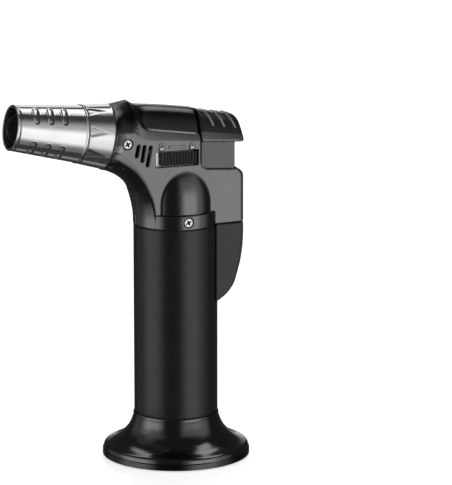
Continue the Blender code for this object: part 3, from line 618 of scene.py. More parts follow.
def implicit_piece(name, grid, field, material, slot, body, nodes, **masks):
    """A piece from a field; each mask is a function of (points, normals) that its paint reads."""
    points, quads = grid.surface(field)
    mesh = bpy.data.meshes.new(name)
    mesh.from_pydata(place(points).tolist(), [], quads.tolist())
    mesh.update()
    mesh.shade_smooth()
    mesh.materials.append(material)
    normals = np.zeros(len(mesh.vertices) * 3)
    mesh.vertices.foreach_get("normal", normals)
    for word, mask in masks.items():
        values = mesh.attributes.new(word, "FLOAT", "POINT").data
        values.foreach_set("value", mask(points, normals.reshape(-1, 3)).astype(np.float32))
    return enrol(name, mesh, body, nodes)


def ramp(value, low, high):
    """0 below low, 1 above high, with soft ends."""
    t = np.clip((value - low) / (high - low), 0.0, 1.0)
    return t * t * (3 - 2 * t)


# ------------------------------------------------------------------ head

# The screws of both side walls: name, X, Z, how far the crown, the seat and the open end of the
# seat's room are from the middle plane, and the screw's length
SCREWS = [("housing_screw_front", *along(48.6, -1.0), 12.1, 11.1, 13.0, 3.2),
          ("collar_screw", -1.1, 105.2, 18.2, 17.0, 19.0, 4.6)]
SCREW_RADIUS, SCREW_SHANK_RADIUS = 1.9, 1.0
SEAT_RADIUS, SCREW_HOLE_RADIUS, SCREW_HOLE_DEPTH = 2.15, 1.3, 3.0
MARK_LINE = 0.22  # half the width of a pictogram's thin line


def roundness(y, half_width):
    """1 on the middle plane, falling along an ellipse to 0 at half_width."""
    return math.sqrt(max(0.0, 1.0 - (y / half_width) ** 2))


def rear_x(y):
    """The rear face, which bulges a little in the middle."""
    return 25.4 + 2.6 * math.sqrt(max(0.0, 1.0 - (y / PANEL_Y) ** 4))


ROOF = [(8.2, 151.4), (4.1, 152.1), (-6.4, 153.5), (-13.0, 154.2), (-16.0, 154.5),
        (-18.0, 154.7), (-19.4, 154.9)]
CREASE = [(WELL_FRONT, 141.7), (4.1, 142.1), (-6.4, 143.6), (-16.2, 145.2), (-18.4, 146.6),
          (-20.0, 148.5), (-20.8, 150.0)]
BORDER = [(WELL_FRONT, 138.8), (4.1, 139.1), (-5.3, 139.9), (-14.7, 140.6), (-20.0, 141.9),
          (-23.2, 144.5), (-25.3, 147.6)]
NECK_MIDDLE = [(-31.2, 126.7), (-27.0, 124.5), (-23.3, 121.5), (-21.0, 118.6), (-20.1, 116.3),
               (-19.4, 112.8), (-18.6, 108.6), (-18.25, 105.5), (-18.18, COLLAR_BOTTOM)]
NECK_SIDE = [(-29.7, 136.0), (-26.0, 132.9), (-22.3, 129.1), (-18.5, 123.5), (-16.7, 119.8),
             (-14.8, 114.8), (-13.95, 108.6), (-13.7, 105.5), (-13.66, COLLAR_BOTTOM)]
ROOF_CURVE, CREASE_CURVE, BORDER_CURVE = (curve_through(c) for c in (ROOF, CREASE, BORDER))
NECK_MIDDLE_CURVE, NECK_SIDE_CURVE = curve_through(NECK_MIDDLE), curve_through(NECK_SIDE)


def arch(y, half_width, power=2.3):
    """1 on the middle plane, falling to 0 at half_width without quite turning upright."""
    return 1.0 - min(1.0, y / half_width) ** power


def roof_line(y):
    """The arch down to a narrow ledge, then the sloping band that meets the flat panel."""
    if y <= LEDGE_Y:
        return CREASE_CURVE + (ROOF_CURVE - CREASE_CURVE) * arch(y, LEDGE_Y)
    if y <= CREASE_Y:
        return CREASE_CURVE
    return CREASE_CURVE + (BORDER_CURVE - CREASE_CURVE) * (y - CREASE_Y) / (PANEL_Y - CREASE_Y)


def head_outline(y):
    """The head's side outline at a distance y from the middle plane."""
    rear = rear_x(y)
    outline = [(rear, BLOCK_BOTTOM), (rear, 122.6), (rear - 0.2, 123.4), (rear - 0.8, 124.3),
               (rear - 1.7, 125.0), (WELL_REAR + 0.1, 126.3), (WELL_REAR - 0.6, 125.7),
               (22.4, WELL_EDGE - 0.9), (10.2, WELL_EDGE), (9.1, 126.9), (8.1, 127.6), (7.5, 128.6),
               (WELL_FRONT, 129.8)]
    bulge = roundness(y, PANEL_Y)
    station = HEAD_RIM - 5.2 * (1.0 - bulge)
    slope = (HEAD_RIM_RADIUS - HEAD_FACE_RADIUS) / (HEAD_RIM - HEAD_FACE)
    radius = HEAD_FACE_RADIUS + slope * (station - HEAD_FACE)
    front = [along(station, math.sqrt(radius ** 2 - y ** 2)),
             along(HEAD_FACE, math.sqrt(HEAD_FACE_RADIUS ** 2 - y ** 2)),
             along(HEAD_FACE, -4.0 - (HEAD_FACE_RADIUS - 4.0) * bulge)]
    upper = ramp(NECK_SIDE_CURVE[:, 1:], 106.0, 122.0)
    round_share = upper * bulge + (1.0 - upper) * collar_bulge(y)
    neck = NECK_SIDE_CURVE + (NECK_MIDDLE_CURVE - NECK_SIDE_CURVE) * round_share
    return np.concatenate([outline, roof_line(y), front, neck])


def collar_bulge(y):
    """How far the collar's circle stands out between the panel's plane and the middle."""
    edge = math.sqrt(COLLAR_RADIUS ** 2 - PANEL_Y ** 2)
    return (math.sqrt(COLLAR_RADIUS ** 2 - y ** 2) - edge) / (COLLAR_RADIUS - edge)


def dome_outline():
    arc = [(math.sqrt(PANEL_Y ** 2 + (DOME_RADIUS ** 2 - PANEL_Y ** 2) * (1 - k * k)),
            DOME_SHOULDER + (DOME_TOP - DOME_SHOULDER) * k) for k in np.linspace(0.0, 1.0, 14)]
    return [(0.0, COLLAR_BOTTOM), (DOME_RADIUS, COLLAR_BOTTOM)] + arc + [(0.0, DOME_TOP)]


def vent(grid, top, bottom, width, low, high):
    """A slot with rounded ends through one side wall."""
    (x1, z1), (x2, z2) = top, bottom
    length = math.hypot(x2 - x1, z2 - z1)
    ux, uz = (x2 - x1) / length, (z2 - z1) / length
    t = np.clip((grid.gx - x1) * ux + (grid.gz - z1) * uz, width / 2, length - width / 2)
    side = np.hypot(grid.gx - x1 - t * ux, grid.gz - z1 - t * uz)[:, None, :] - width / 2
    return np.maximum(side, grid.layer(low, high))


def padlock(grid, x, z, shackle_lift):
    """Distance in (x, z) to a small padlock pictogram: a body, and a shackle of thin line."""
    body = np.maximum(np.abs(grid.gx - x) - 1.25, np.abs(grid.gz - z + 0.6) - 0.75)
    centre_z = z + 0.35 + shackle_lift
    angle = np.arctan2(grid.gz - centre_z, grid.gx - x)
    arc = np.abs(np.hypot(grid.gx - x, grid.gz - centre_z) - 0.8) - MARK_LINE
    arc = np.where(angle < 0, 9.0, arc)
    foot = z + 0.1
    legs = [np.maximum(np.abs(grid.gx - x - 0.8 * side) - MARK_LINE,
                       np.abs(grid.gz - (low + centre_z) / 2) - (centre_z - low) / 2)
            for side, low in ((1, foot), (-1, foot + 0.9 * shackle_lift))]
    return np.minimum(np.minimum(body, arc), np.minimum(*legs))


def mark_field(grid):
    """Raised pictograms above the lock: open, a dash, closed."""
    opened = padlock(grid, -10.9, 137.3, 0.45)
    closed = padlock(grid, 3.0, 137.0, 0.0)
    rise = 137.1 - 0.03 * (grid.gx + 4.0)
    dash = np.maximum(np.abs(grid.gx + 3.9) - 3.8, np.abs(grid.gz - rise) - 0.36)
    return np.minimum(np.minimum(opened, closed), dash)


def painted_highlight_mask(points, normals):
    """Painted highlight: 1 on the raised faces of the pictograms, and on the upward faces of the narrow ledge
    under the roof.
    """
    marks = ramp(-points[:, 1], 12.1, 12.22) * ramp(-normals[:, 1], 0.7, 0.95)
    marks = marks * (np.abs(points[:, 2] - 137.2) < 2.2)
    across = np.abs(points[:, 1])
    ledge = (across > LEDGE_Y - 0.3) & (across < CREASE_Y + 0.1) & (points[:, 2] > 140.8)
    return np.maximum(marks, ledge * ramp(normals[:, 2], 0.6, 0.85))


def deep_mask(points, normals):
    """Painted shade: 1 on the roof's flanks and on the front above the nozzle's axis, on faces that lean
    between upright and level, where the lacquer is painted darkest.
    """
    x, z = points[:, 0], points[:, 2]
    lean = ramp(normals[:, 2], 0.1, 0.24) * (1.0 - ramp(normals[:, 2], 0.62, 0.85))
    flank = ramp(z - (142.9 - 0.15 * x), 0.0, 0.8) * ramp(x, -20.5, -18.5)
    _, offset = nozzle_place(x, z)
    front = ramp(-x, 19.5, 21.5) * ramp(offset, FRONT_TURN, FRONT_TURN + 2.0)
    return lean * np.maximum(flank, front)


def softened(field):
    """Evens a field out by half a step each way, so that creases stay clean."""
    for axis in range(3):
        padded = np.pad(field, [(1, 1) if k == axis else (0, 0) for k in range(3)], mode="reflect",
                        reflect_type="odd")
        ahead, behind = np.roll(padded, -1, axis), np.roll(padded, 1, axis)
        inner = tuple(slice(1, -1) if k == axis else slice(None) for k in range(3))
        field = (0.5 * padded + 0.25 * (ahead + behind))[inner]
    return field


def build_head():
    grid = Grid((-36.4, -19.2, 100.4), (29.2, 19.2, 159.2), 0.34)
    head = softened(grid.loft(head_outline, PANEL_Y, 0.5))
    cone = grid.about_nozzle([(0.0, HEAD_FACE), (HEAD_FACE_RADIUS - 0.1, HEAD_FACE),
                              (13.0, 44.4), (12.0, 46.6), (11.0, 47.5), (0.0, 47.5)])
    head = join(head, cone, 1.2)
    head = meet(head, grid.oval_front(), 0.3)
    head = join(head, grid.upright(dome_outline()), 0.5)
    ring = grid.upright(filleted([(0.0, COLLAR_BOTTOM), (COLLAR_RADIUS, COLLAR_BOTTOM),
                                  (COLLAR_RADIUS, COLLAR_TOP), (0.0, COLLAR_TOP)], 0.4))
    head = join(head, ring, 0.12)
    main = [(-13.2, 104.0), (-13.4, 109.0), (-15.4, 114.0), (-17.2, 119.0), (-21.8, 125.6), (-27.8, 129.6),
            (-29.8, 133.0), (-28.6, 141.0), (-23.6, 145.6), (-17.0, 142.8), (-6.0, 141.0),
            (5.2, 139.4), (5.2, 125.0), (24.7, 123.0), (24.7, 104.2)]
    roof = [(-18.6, 138.0), (-18.2, 149.6), (5.4, 146.6), (5.4, 138.0)]
    bore = [(0.0, 100.0), (15.8, 100.0), (15.8, 106.9), (14.6, 108.0), (14.6, 113.0),
            (13.2, 118.0), (10.0, 122.0), (0.0, 122.0)]
    rooms = [grid.prism(main, -CAVITY_Y, CAVITY_Y), grid.prism(roof, -6.0, 6.0), grid.upright(bore),
             grid.box((WELL_FRONT, -WELL_Y, WELL_BOTTOM), (WELL_REAR, WELL_Y, 170.0)),
             grid.about_nozzle([(0.0, 38.0), (11.4, 38.0), (11.4, 52.0), (0.0, 52.0)])]
    for side in (-1, 1):
        low, high = sorted((side * 9.0, side * 14.0))
        for top, bottom in (((-21.1, 139.1), (-22.3, 133.7)), ((-18.5, 138.7), (-19.7, 131.6)),
                            ((-15.7, 138.3), (-17.4, 129.5))):
            rooms.append(vent(grid, top, bottom, 1.2, low, high))
        for _, x, z, _, seat, outer, _ in SCREWS:
            for reach, radius in ((seat, SEAT_RADIUS), (seat - SCREW_HOLE_DEPTH, SCREW_HOLE_RADIUS)):
                low, high = sorted((side * reach, side * outer))
                rooms.append(grid.peg(x, z, radius, low, high))
    shell = head
    for room in rooms:
        shell = np.maximum(shell, -room)
    window = grid.box((WINDOW[0], -14.0, WINDOW[2]), (WINDOW[1], -9.0, WINDOW[3]))
    raised = np.maximum(mark_field(grid)[:, None, :], grid.layer(-12.3, -11.5))
    across = grid.y[None, :, None]
    left = np.minimum(np.maximum(shell, -window), raised)
    # The shells' lacquer carries a painted highlight mask and a painted shade mask.
    for word, half in (("left", np.maximum(left, across + GAP / 2)),
                       ("right", np.maximum(shell, GAP / 2 - across))):
        implicit_piece(f"housing_{word}_shell", grid, half, GUNMETAL, "graphite", "torch",
                       [f"housing_{word}"], panel=painted_highlight_mask, deep=deep_mask)


# ------------------------------------------------------------------ button, tail, lock

BUTTON_TOP = curve_through([(8.6, 151.0), (12.6, 150.2), (16.7, 149.4), (20.6, 148.9), (23.6, 148.3),
                            (25.8, 147.4), (27.0, 145.8), (27.6, 142.0), (27.8, 137.4)])
BUTTON_CREASE = curve_through([(7.5, 142.5), (12.4, 141.8), (16.4, 141.2), (20.2, 140.6),
                               (23.2, 140.2), (25.0, 139.9), (26.2, 139.7), (26.9, 139.4), (27.3, 137.5)])
BUTTON_HEM = curve_through([(7.5, 139.5), (12.4, 139.1), (16.4, 138.8), (20.2, 138.5), (23.2, 138.3),
                            (24.6, 138.1), (25.4, 137.9), (25.9, 137.7), (26.3, 137.4)])
CAP_Y, CAP_CREASE_Y = 11.8, 10.8
RIB_PLACES = (12.2, 17.2, 22.2)
RIB_RUN, RIB_HEIGHT, RIB_DIP = 3.2, 0.36, 0.35


def button_outline(y):
    """An arched top that ends on a crease, then a steep skirt."""
    if y <= CAP_CREASE_Y:
        line = BUTTON_CREASE + (BUTTON_TOP - BUTTON_CREASE) * arch(y, CAP_CREASE_Y, 2.8)
        line = line + shingles(line, y)
    else:
        share = (y - CAP_CREASE_Y) / (CAP_Y - CAP_CREASE_Y)
        line = BUTTON_CREASE + (BUTTON_HEM - BUTTON_CREASE) * share
    return np.concatenate([line, [(line[-1][0] - 1.0, 137.1), (7.5, 138.2)]])


def ahead_of_ribs(x, y):
    """How far a place is in front of each rib's drop; the ribs lean back down the sides."""
    lean = 0.35 * np.maximum(0.0, np.abs(y) - 4.0)
    return [place_x - (x - lean) for place_x in RIB_PLACES]


def shingles(line, y):
    """Three stepped ridges across the cap: each rises towards the rear and then drops."""
    height = np.zeros(len(line))
    for ahead in ahead_of_ribs(line[:, 0], y):
        slope = np.where((ahead >= 0) & (ahead < RIB_RUN), ahead / RIB_RUN - 1.0, 0.0)
        height = np.where(slope < 0, slope * RIB_DIP, height)
        height = height + RIB_HEIGHT * np.exp(-((ahead - 0.1) / 0.42) ** 2)
    fade = 1.0 - ramp(y, 8.6, 9.4)
    return np.stack([np.zeros(len(line)), fade * height], 1)


def build_button():
    grid = Grid((6.2, -13.0, 117.2), (29.8, 13.0, 152.8), 0.28)
    cap = softened(grid.loft(button_outline, CAP_Y, 0.35))
    stem = grid.box((7.6, -10.4, 119.6), (23.3, 10.4, 140.0), 0.4)
    room = grid.box((9.1, -8.9, 110.0), (21.8, 8.9, 138.4))
    crown = grid.prism([(9.6, 137.0), (9.8, 146.0), (21.0, 144.6), (21.4, 137.0)], -6.4, 6.4)
    ribs = grid.prism([(10.8, 118.7), (13.8, 118.7), (13.8, 126.0), (22.4, 126.0),
                       (22.4, 128.0), (10.8, 128.0)], -9.3, 9.3)
    for side in (-1, 1):
        low, high = sorted((side * 4.6, side * 12.0))
        ribs = np.maximum(ribs, -grid.box((9.0, low, 116.0), (15.0, high, 124.0)))
    body = np.maximum(np.maximum(join(cap, stem, 0.0), -room), -crown)
    body = np.minimum(body, ribs)
    implicit_piece("igniter_button_moulding", grid, body, BUTTON, "gloss_black", "button",
                   ["igniter_button"], panel=button_mask, crest=crest_mask)


def button_mask(points, normals):
    """The stem's and skirt's sides are lacquered."""
    across = np.abs(points[:, 1])
    facing = np.abs(normals[:, 1])
    stem = ramp(facing, 0.93, 0.99) * ((points[:, 2] < 139.0) & (across < 11.0))
    skirt = ramp(facing, 0.82, 0.92) * ((across > CAP_CREASE_Y - 0.1) & (points[:, 2] < 143.0))
    return np.maximum(0.8 * stem, skirt)


def crest_mask(points, normals):
    """The ribs' crests carry a painted highlight, brightest at their lower ends."""
    across = np.abs(points[:, 1])
    crest = sum(np.exp(-((ahead - 0.15) / 0.34) ** 2) for ahead in ahead_of_ribs(points[:, 0], across))
    return crest * ((across < 9.3) & (points[:, 2] > 142.0)) * (0.55 + 0.45 * ramp(across, 5.0, 8.0))


def tail_outline(y):
    shift = rear_x(y) - rear_x(10.7)
    back = curve_through([(27.0, 102.1), (27.0, 98.0), (26.7, 92.0), (25.8, 86.0), (24.8, 82.0),
                          (23.9, 79.0), (23.0, 76.2), (21.6, 73.8), (19.6, 71.5), (17.2, 69.6),
                          (14.6, 68.1), (12.6, 67.4)], 4)
    return np.concatenate([[(8.0, 102.1)], back + (shift, 0.0), [(8.0, 67.4)]])


def build_tail():
    grid = Grid((7.0, -13.2, 66.4), (30.0, 13.2, 103.2), 0.34)
    cover = grid.loft(tail_outline, PANEL_Y, 0.45)
    room = grid.prism([(10.0, 100.4), (24.4, 100.4), (24.0, 90.0), (22.4, 81.0), (19.0, 75.6),
                       (10.0, 74.0)], -CAVITY_Y, CAVITY_Y)
    tank = grid.peg_upright(18.0 + GAP)
    cover = np.maximum(np.maximum(cover, -room), -tank)
    implicit_piece("rear_cover_moulding", grid, cover, TAIL_PLASTIC, "gloss_black", "torch", ["rear_cover"])


def build_lock():
    x1, x2, z1, z2 = SLIDER
    grid = Grid((x1 - 0.8, -13.0, z1 - 0.8), (x2 + 0.8, -9.6, z2 + 0.8), 0.16)
    plate = grid.box((x1, -12.3, z1), (x2, -10.4, z2), 0.25)
    height = np.zeros(len(grid.x))
    for index in range(12):
        centre = x2 - 0.7 - 1.36 * index
        height = np.maximum(height, 1.0 - ((grid.x - centre) / 0.52) ** 2)
    face = -11.5 - 0.75 * np.clip(height, 0.0, 1.0)
    plate = np.maximum(plate, (face[:, None] - grid.y[None, :])[:, :, None] * 0.8)
    implicit_piece("lock_slider_moulding", grid, plate, SLIDER_PLASTIC, "gloss_black", "lock",
                   ["lock_slider"])
    grid = Grid((-16.8, -10.6, 126.8), (5.6, -7.8, 137.0), 0.3)
    carriage = grid.box((-16.0, -9.9, 127.6), (4.9, -8.5, 136.2), 0.3)
    implicit_piece("lock_carriage_moulding", grid, carriage, LIGHT_PLATE, "inner_plastic", "lock",
                   ["lock_carriage"])


# ------------------------------------------------------------------ foot and tank

def build_foot():
    band = filleted([(31.75, 0.4), (31.75, 2.75), (31.2, 3.0), (31.25, 3.6)], 0.22, 4, False)
    flare = curve_through([(31.25, 3.6), (31.1, 4.5), (30.4, 5.2), (29.0, 5.75), (27.4, 6.4), (25.5, 7.5),
                           (23.5, 9.0), (21.9, 10.6), (20.8, 12.0), (20.1, 13.2), (19.5, 14.4),
                           (19.0, 15.7), (18.6, 16.9), (18.3, 17.7)], 5)
    bead = filleted([(18.3, 17.7), (18.2, 17.9), (18.42, 18.1), (18.42, 18.9), (18.1, 19.3)], 0.12, 3, False)
    under = [(17.2, 19.3), (17.2, 9.6), (6.6, 9.6), (6.6, 7.6), (19.0, 7.6), (24.0, 6.0), (27.6, 4.6),
             (29.2, 3.4), (30.6, 2.8), (30.6, 0.4)]
    outline = band[:-1] + [tuple(p) for p in flare] + bead[1:] + under
    skin = turned_piece("foot_flare_skin", outline, 200, upright, FOOT_GLOSS, "torch",
                        "foot_flare")
    skin.data.materials.append(FOOT_BAND_SHADE)
    # Painted shade: the faces of the foot's upright band take the darker lacquer.
    for face in skin.data.polygons:
        if face.center.z < FOOT_BAND_TOP * MM:
            face.material_index = 1
    ring = filleted([(26.9, 0.0), (30.2, 0.0), (30.2, 2.6), (28.7, 2.9), (26.9, 2.9)], 0.4)
    turned_piece("rubber_ring_moulding", ring, 120, upright, RUBBER, "torch", "rubber_foot_ring")
    plate = filleted([(12.0, 1.4), (26.4, 1.4), (26.4, 3.0), (12.0, 3.0)], 0.3)
    turned_piece("foot_plate_disc", plate, 96, upright, GLOSS, "torch", "foot_plate")


def knurl(radius, height, angle):
    """Twenty-four shallow grooves in the dial's rim."""
    if radius < 10.0:
        return 0.0
    return -0.35 * (0.5 - 0.5 * math.cos(24 * angle)) ** 2


def build_dial():
    low, high = 2.6, 2.6 + 4.6
    outline = filleted([(5.9, low), (10.2, low), (10.8, low + 0.5), (10.8, high), (5.9, high)], 0.3)
    turned_piece("flame_dial_knob", dense(outline, 0.5), 240, upright, INNER, "flame_dial",
                 "flame_dial", knurl)


def build_tank():
    outline = filleted([(17.2, 19.6), (18.0, 19.6), (18.0, 101.6), (17.2, 101.6)], 0.18, 3)
    turned_piece("tank_tube", dense(outline, 6.0), 160, upright, TANK, "torch", "tank_sleeve")


# ------------------------------------------------------------------ screws

def screw_shape(length):
    """A cross-headed screw along Y whose crown is at Y = 0, as points and quads."""
    grid = Grid((-2.4, -0.6, -2.4), (2.4, length + 0.6, 2.4), 0.12)
    depth = grid.y[None, :, None]
    radius = np.hypot(grid.gx, grid.gz)[:, None, :]
    crown = 0.02 + 0.13 * (radius / SCREW_RADIUS) ** 2
    head = np.maximum(meet(radius - SCREW_RADIUS, crown - depth, 0.16), depth - 0.8)
    shank = np.maximum(radius - SCREW_SHANK_RADIUS, np.maximum(0.3 - depth, depth - length))
    screw = np.minimum(head, shank)
    for half_x, half_z in ((1.3, 0.32), (0.32, 1.3)):
        side = np.maximum(np.abs(grid.gx) - half_x, np.abs(grid.gz) - half_z)[:, None, :]
        screw = np.maximum(screw, -np.maximum(side, depth - 0.75))
    return grid.surface(screw)


def build_screws():
    """Both screws of each side wall; the faces inside a cross take black rubber as painted shade."""
    for name, x, z, outside, _, _, length in SCREWS:
        points, quads = screw_shape(length)
        for word, side, degrees in (("left", -1, 27), ("right", 1, 61)):
            turn = math.radians(degrees)
            px = points[:, 0] * math.cos(turn) - points[:, 2] * math.sin(turn)
            pz = points[:, 0] * math.sin(turn) + points[:, 2] * math.cos(turn)
            placed = np.stack([x + px, side * (outside - points[:, 1]), z + pz], 1)
            made = piece(f"{name}_{word}_screw", placed, quads, NICKEL, "torch",
                         [f"{name}_{word}"], crisp=50.0)
            made.data.materials.append(RUBBER)
            for face in made.data.polygons:
                sunk = outside - abs(face.center.y) / MM
                aside = math.hypot(face.center.x / MM - AXIS_X - x, face.center.z / MM - z)
                # Painted shade: faces sunk inside the cross take the black rubber.
                face.material_index = int(0.3 < sunk < 0.78 and aside < 1.5)


# ------------------------------------------------------------------ nozzle

def barrel_radius(station):
    """The barrel widens towards the rear."""
    return MOUTH_RADIUS + BARREL_TAPER * station


def dimples(radius, station, angle):
    """Oblong pressings in rows of three at each quarter of the barrel."""
    if radius < 9.4 or not 5.0 < station < 24.0:
        return 0.0
    centre = min((8.1, 14.3, 20.4), key=lambda s: abs(s - station))
    quarter = math.pi / 2
    around = (angle - quarter / 2) % quarter
    around = min(around, quarter - around) * radius
    half_length, half_width = 4.4, 1.3
    reach = max(0.0, around - (half_length - half_width))
    distance = math.hypot(station - centre, reach) - half_width
    dip = 1.0 - min(1.0, max(0.0, (distance + 0.75) / 0.8))
    lip = math.exp(-((distance - 0.22) / 0.2) ** 2)
    return -0.21 * dip * dip * (3 - 2 * dip) + 0.04 * lip


def scallops(radius, station, angle):
    """Triangular cuts around the collar, widest by the bead and pointing to the rear."""
    low, high = BEAD_STATION + 1.5, 41.0
    if radius < 12.0 or not low - 0.3 <= station <= high:
        return 0.0
    share = (station - low) / (high - low)
    eighth = math.pi / 4
    around = (angle - math.radians(14) + eighth / 2) % eighth - eighth / 2
    half = math.radians(12.0) * (1 - share)
    inside = (half - abs(around)) * radius
    if inside <= 0:
        return 0.0
    edge = min(1.0, inside / 1.5)
    return -(0.08 + 0.34 * (1 - share)) * edge * edge * (3 - 2 * edge)


def nozzle_piece(name, outline, material, node, segments=200, relief=None):
    turned_piece(name, outline, segments, on_nozzle, material, "torch", node, relief)


def build_nozzle():
    step = BEAD_STATION - 0.62
    lip = filleted([(MOUTH_RADIUS - 1.0, 1.5), (MOUTH_RADIUS - 1.0, 0.0), (MOUTH_RADIUS - 0.1, 0.0),
                    (MOUTH_RADIUS + 0.1, 0.25), (MOUTH_RADIUS + 0.1, 0.75), (barrel_radius(0.95) - 0.2, 0.95),
                    (barrel_radius(1.25) - 0.1, 1.25)], 0.14, 3, False)
    barrel = [(barrel_radius(s) - (0.08 if s < 1.6 else 0.05), s) for s in np.arange(1.5, step, 0.25)]
    rear = [(barrel_radius(step) - 0.05, step), (10.9, step + 0.01), (10.9, 45.4), (10.1, 45.4),
            (10.1, step - 2.0)]
    nozzle_piece("flame_tube_shell", lip + barrel + rear, CHROME, "flame_tube", 300, dimples)
    front, back = BEAD_STATION - 0.55, BEAD_STATION + 0.55
    ring = filleted([(11.3, front), (BEAD_RADIUS - 0.5, front), (BEAD_RADIUS - 0.2, BEAD_STATION - 0.3),
                     (BEAD_RADIUS - 0.2, BEAD_STATION + 0.3), (BEAD_RADIUS - 0.5, back), (11.3, back)], 0.3)
    nozzle_piece("bead_ring_turned", ring, CHROME, "nozzle_bead_ring")
    start, end = BEAD_STATION + 0.62, COLLAR_END
    slope = (COLLAR_END_RADIUS - 0.1 - 12.5) / (end - start)
    flare = [(11.3, start), (12.3, start), (12.5, start + 0.2)]
    flare += [(12.5 + slope * (s - start), s) for s in np.arange(start + 0.4, end - 0.4, 0.25)]
    flare += [(COLLAR_END_RADIUS - 0.1, end - 0.3), (COLLAR_END_RADIUS - 0.25, end), (11.3, end)]
    nozzle_piece("collar_shell", flare, CHROME, "nozzle_collar", 320, scallops)
    tube = filleted([(6.5, 8.0), (7.3, 8.0), (7.3, 50.0), (6.5, 50.0)], 0.2, 3)
    nozzle_piece("burner_tube_shell", dense(tube, 3.0), BURNER, "burner_tube", 96)


# ------------------------------------------------------------------ springs and hose

def tube_along(points, radius, sides=12):
    """Points and faces of a round wire along a route, closed by flat ends."""
    route = [Vector(p) for p in points]
    across = Vector((0.0, 1.0, 0.0))
    rings, faces = [], []
    for k, here in enumerate(route):
        ahead = (route[min(k + 1, len(route) - 1)] - route[max(k - 1, 0)]).normalized()
        across = (across - ahead * across.dot(ahead)).normalized()
        beside = ahead.cross(across)
        rings += [here + (across * math.cos(a) + beside * math.sin(a)) * radius
                  for a in (math.tau * s / sides for s in range(sides))]
    for k in range(len(route) - 1):
        for s in range(sides):
            n = (s + 1) % sides
            faces.append([k * sides + s, k * sides + n, (k + 1) * sides + n, (k + 1) * sides + s])
    faces.append(list(range(sides))[::-1])
    faces.append([(len(route) - 1) * sides + s for s in range(sides)])
    return [tuple(p) for p in rings], faces


def yielding(made):
    """Gives a piece a mesh of its own."""
    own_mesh(made)


def build_springs():
    """Compression springs, each wound from its fixed end to its free end."""
    # Node, joint, X of its axis, radius, fixed and free end, turns, travel
    springs = [("button_spring", "button_press", PIEZO_X, 3.0, 118.2, 125.4, 4, 6.2),
               ("gas_valve_spring", "gas_valve_lift", VALVE_X, 2.0, 108.8, 100.3, 5, 2.4),
               ("filler_valve_spring", "filler_stem_press", 0.0, 1.9, 13.6, 9.4, 4, 1.5)]
    for node, joint, x, radius, fixed_z, free_z, turns, travel in springs:
        steps = 28 * turns
        angles = [math.tau * turns * k / steps for k in range(steps + 1)]
        route = [(x + radius * math.cos(a), radius * math.sin(a), fixed_z + (free_z - fixed_z) * k / steps)
                 for k, a in enumerate(angles)]
        points, faces = tube_along(route, 0.25)
        made = piece(f"{node}_wire", points, faces, STEEL, "torch", [node])
        yielding(made)


def build_hose():
    """The gas hose, whose lower end is pushed up by the valve's stem."""
    low, high = 119.6, 139.0
    end_x, end_z = along(66.6)
    route = curve_through([(VALVE_X, 0, low), (VALVE_X, 0, 123.0), (-3.2, 0, 127.5), (-1.0, 0, 132.0),
                           (-1.2, 0, 135.6), (-4.2, 0, 137.5), (end_x, 0, end_z)])
    points, faces = tube_along(route, 1.4, 20)
    made = piece("gas_hose_tube", points, faces, RUBBER, "torch", ["gas_hose"])
    yielding(made)


# ------------------------------------------------------------------ carried-over nodes

INNER_FINISH = {
    BRASS: ["filler_valve_body", "filler_valve_stem", "gas_valve_body", "gas_valve_stem", "mixing_tube",
            "gas_jet", "regulator_sleeve"],
    STEEL: ["foot_screw_1", "foot_screw_2", "foot_screw_3", "lever_pin", "valve_lever",
            "lock_detent_spring", "nozzle_mount_ring", "electrode"],
    BURNER: ["burner_plug", "flame_holder"],
    RUBBER: ["tank_cap_seal", "filler_valve_seal", "gas_valve_seal", "ignition_lead"],
    CERAMIC: ["electrode_insulator", "piezo_plunger"],
    INNER: ["fuel_tank", "tank_cap", "pickup_tube", "piezo_body"],
}


def paint_cad_nodes():
    for material, names in INNER_FINISH.items():
        for name in names:
            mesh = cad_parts[name].data
            mesh.materials.clear()
            mesh.materials.append(material)


# ------------------------------------------------------------------ studio

# The studio's light by direction, in degrees: azimuth from -Y towards +X, then elevation.
# Each row is (lowest and highest azimuth, softness, lowest and highest elevation, softness, strength).
STUDIO_PANELS = [
    (3, 46, 9, -42, 14, 13, 0.72),
    (-5, 70, 12, -46, 43, 16, 0.38),
    (-114, -62, 14, -26, 26, 13, 1.05),
    (-110, -60, 14, 30, 52, 12, 0.25),
    (-152, -118, 8, -26, 26, 10, 0.15),
    (-140, -100, 10, 20, 60, 12, 0.1),
    (80, 116, 8, 54, 68, 3, 1.15),
    (116, 150, 4, 49, 67, 2, 1.15),
    (150, 200, 6, 46, 58, 3, 1.0),
    (147, 166, 5, -5, 35, 4, 0.8),
    (0, 60, 8, -72, -50, 4, 0.12),
    (135, 168, 6, -74, -58, 4, 0.2),
]
STUDIO_FILL = 0.042


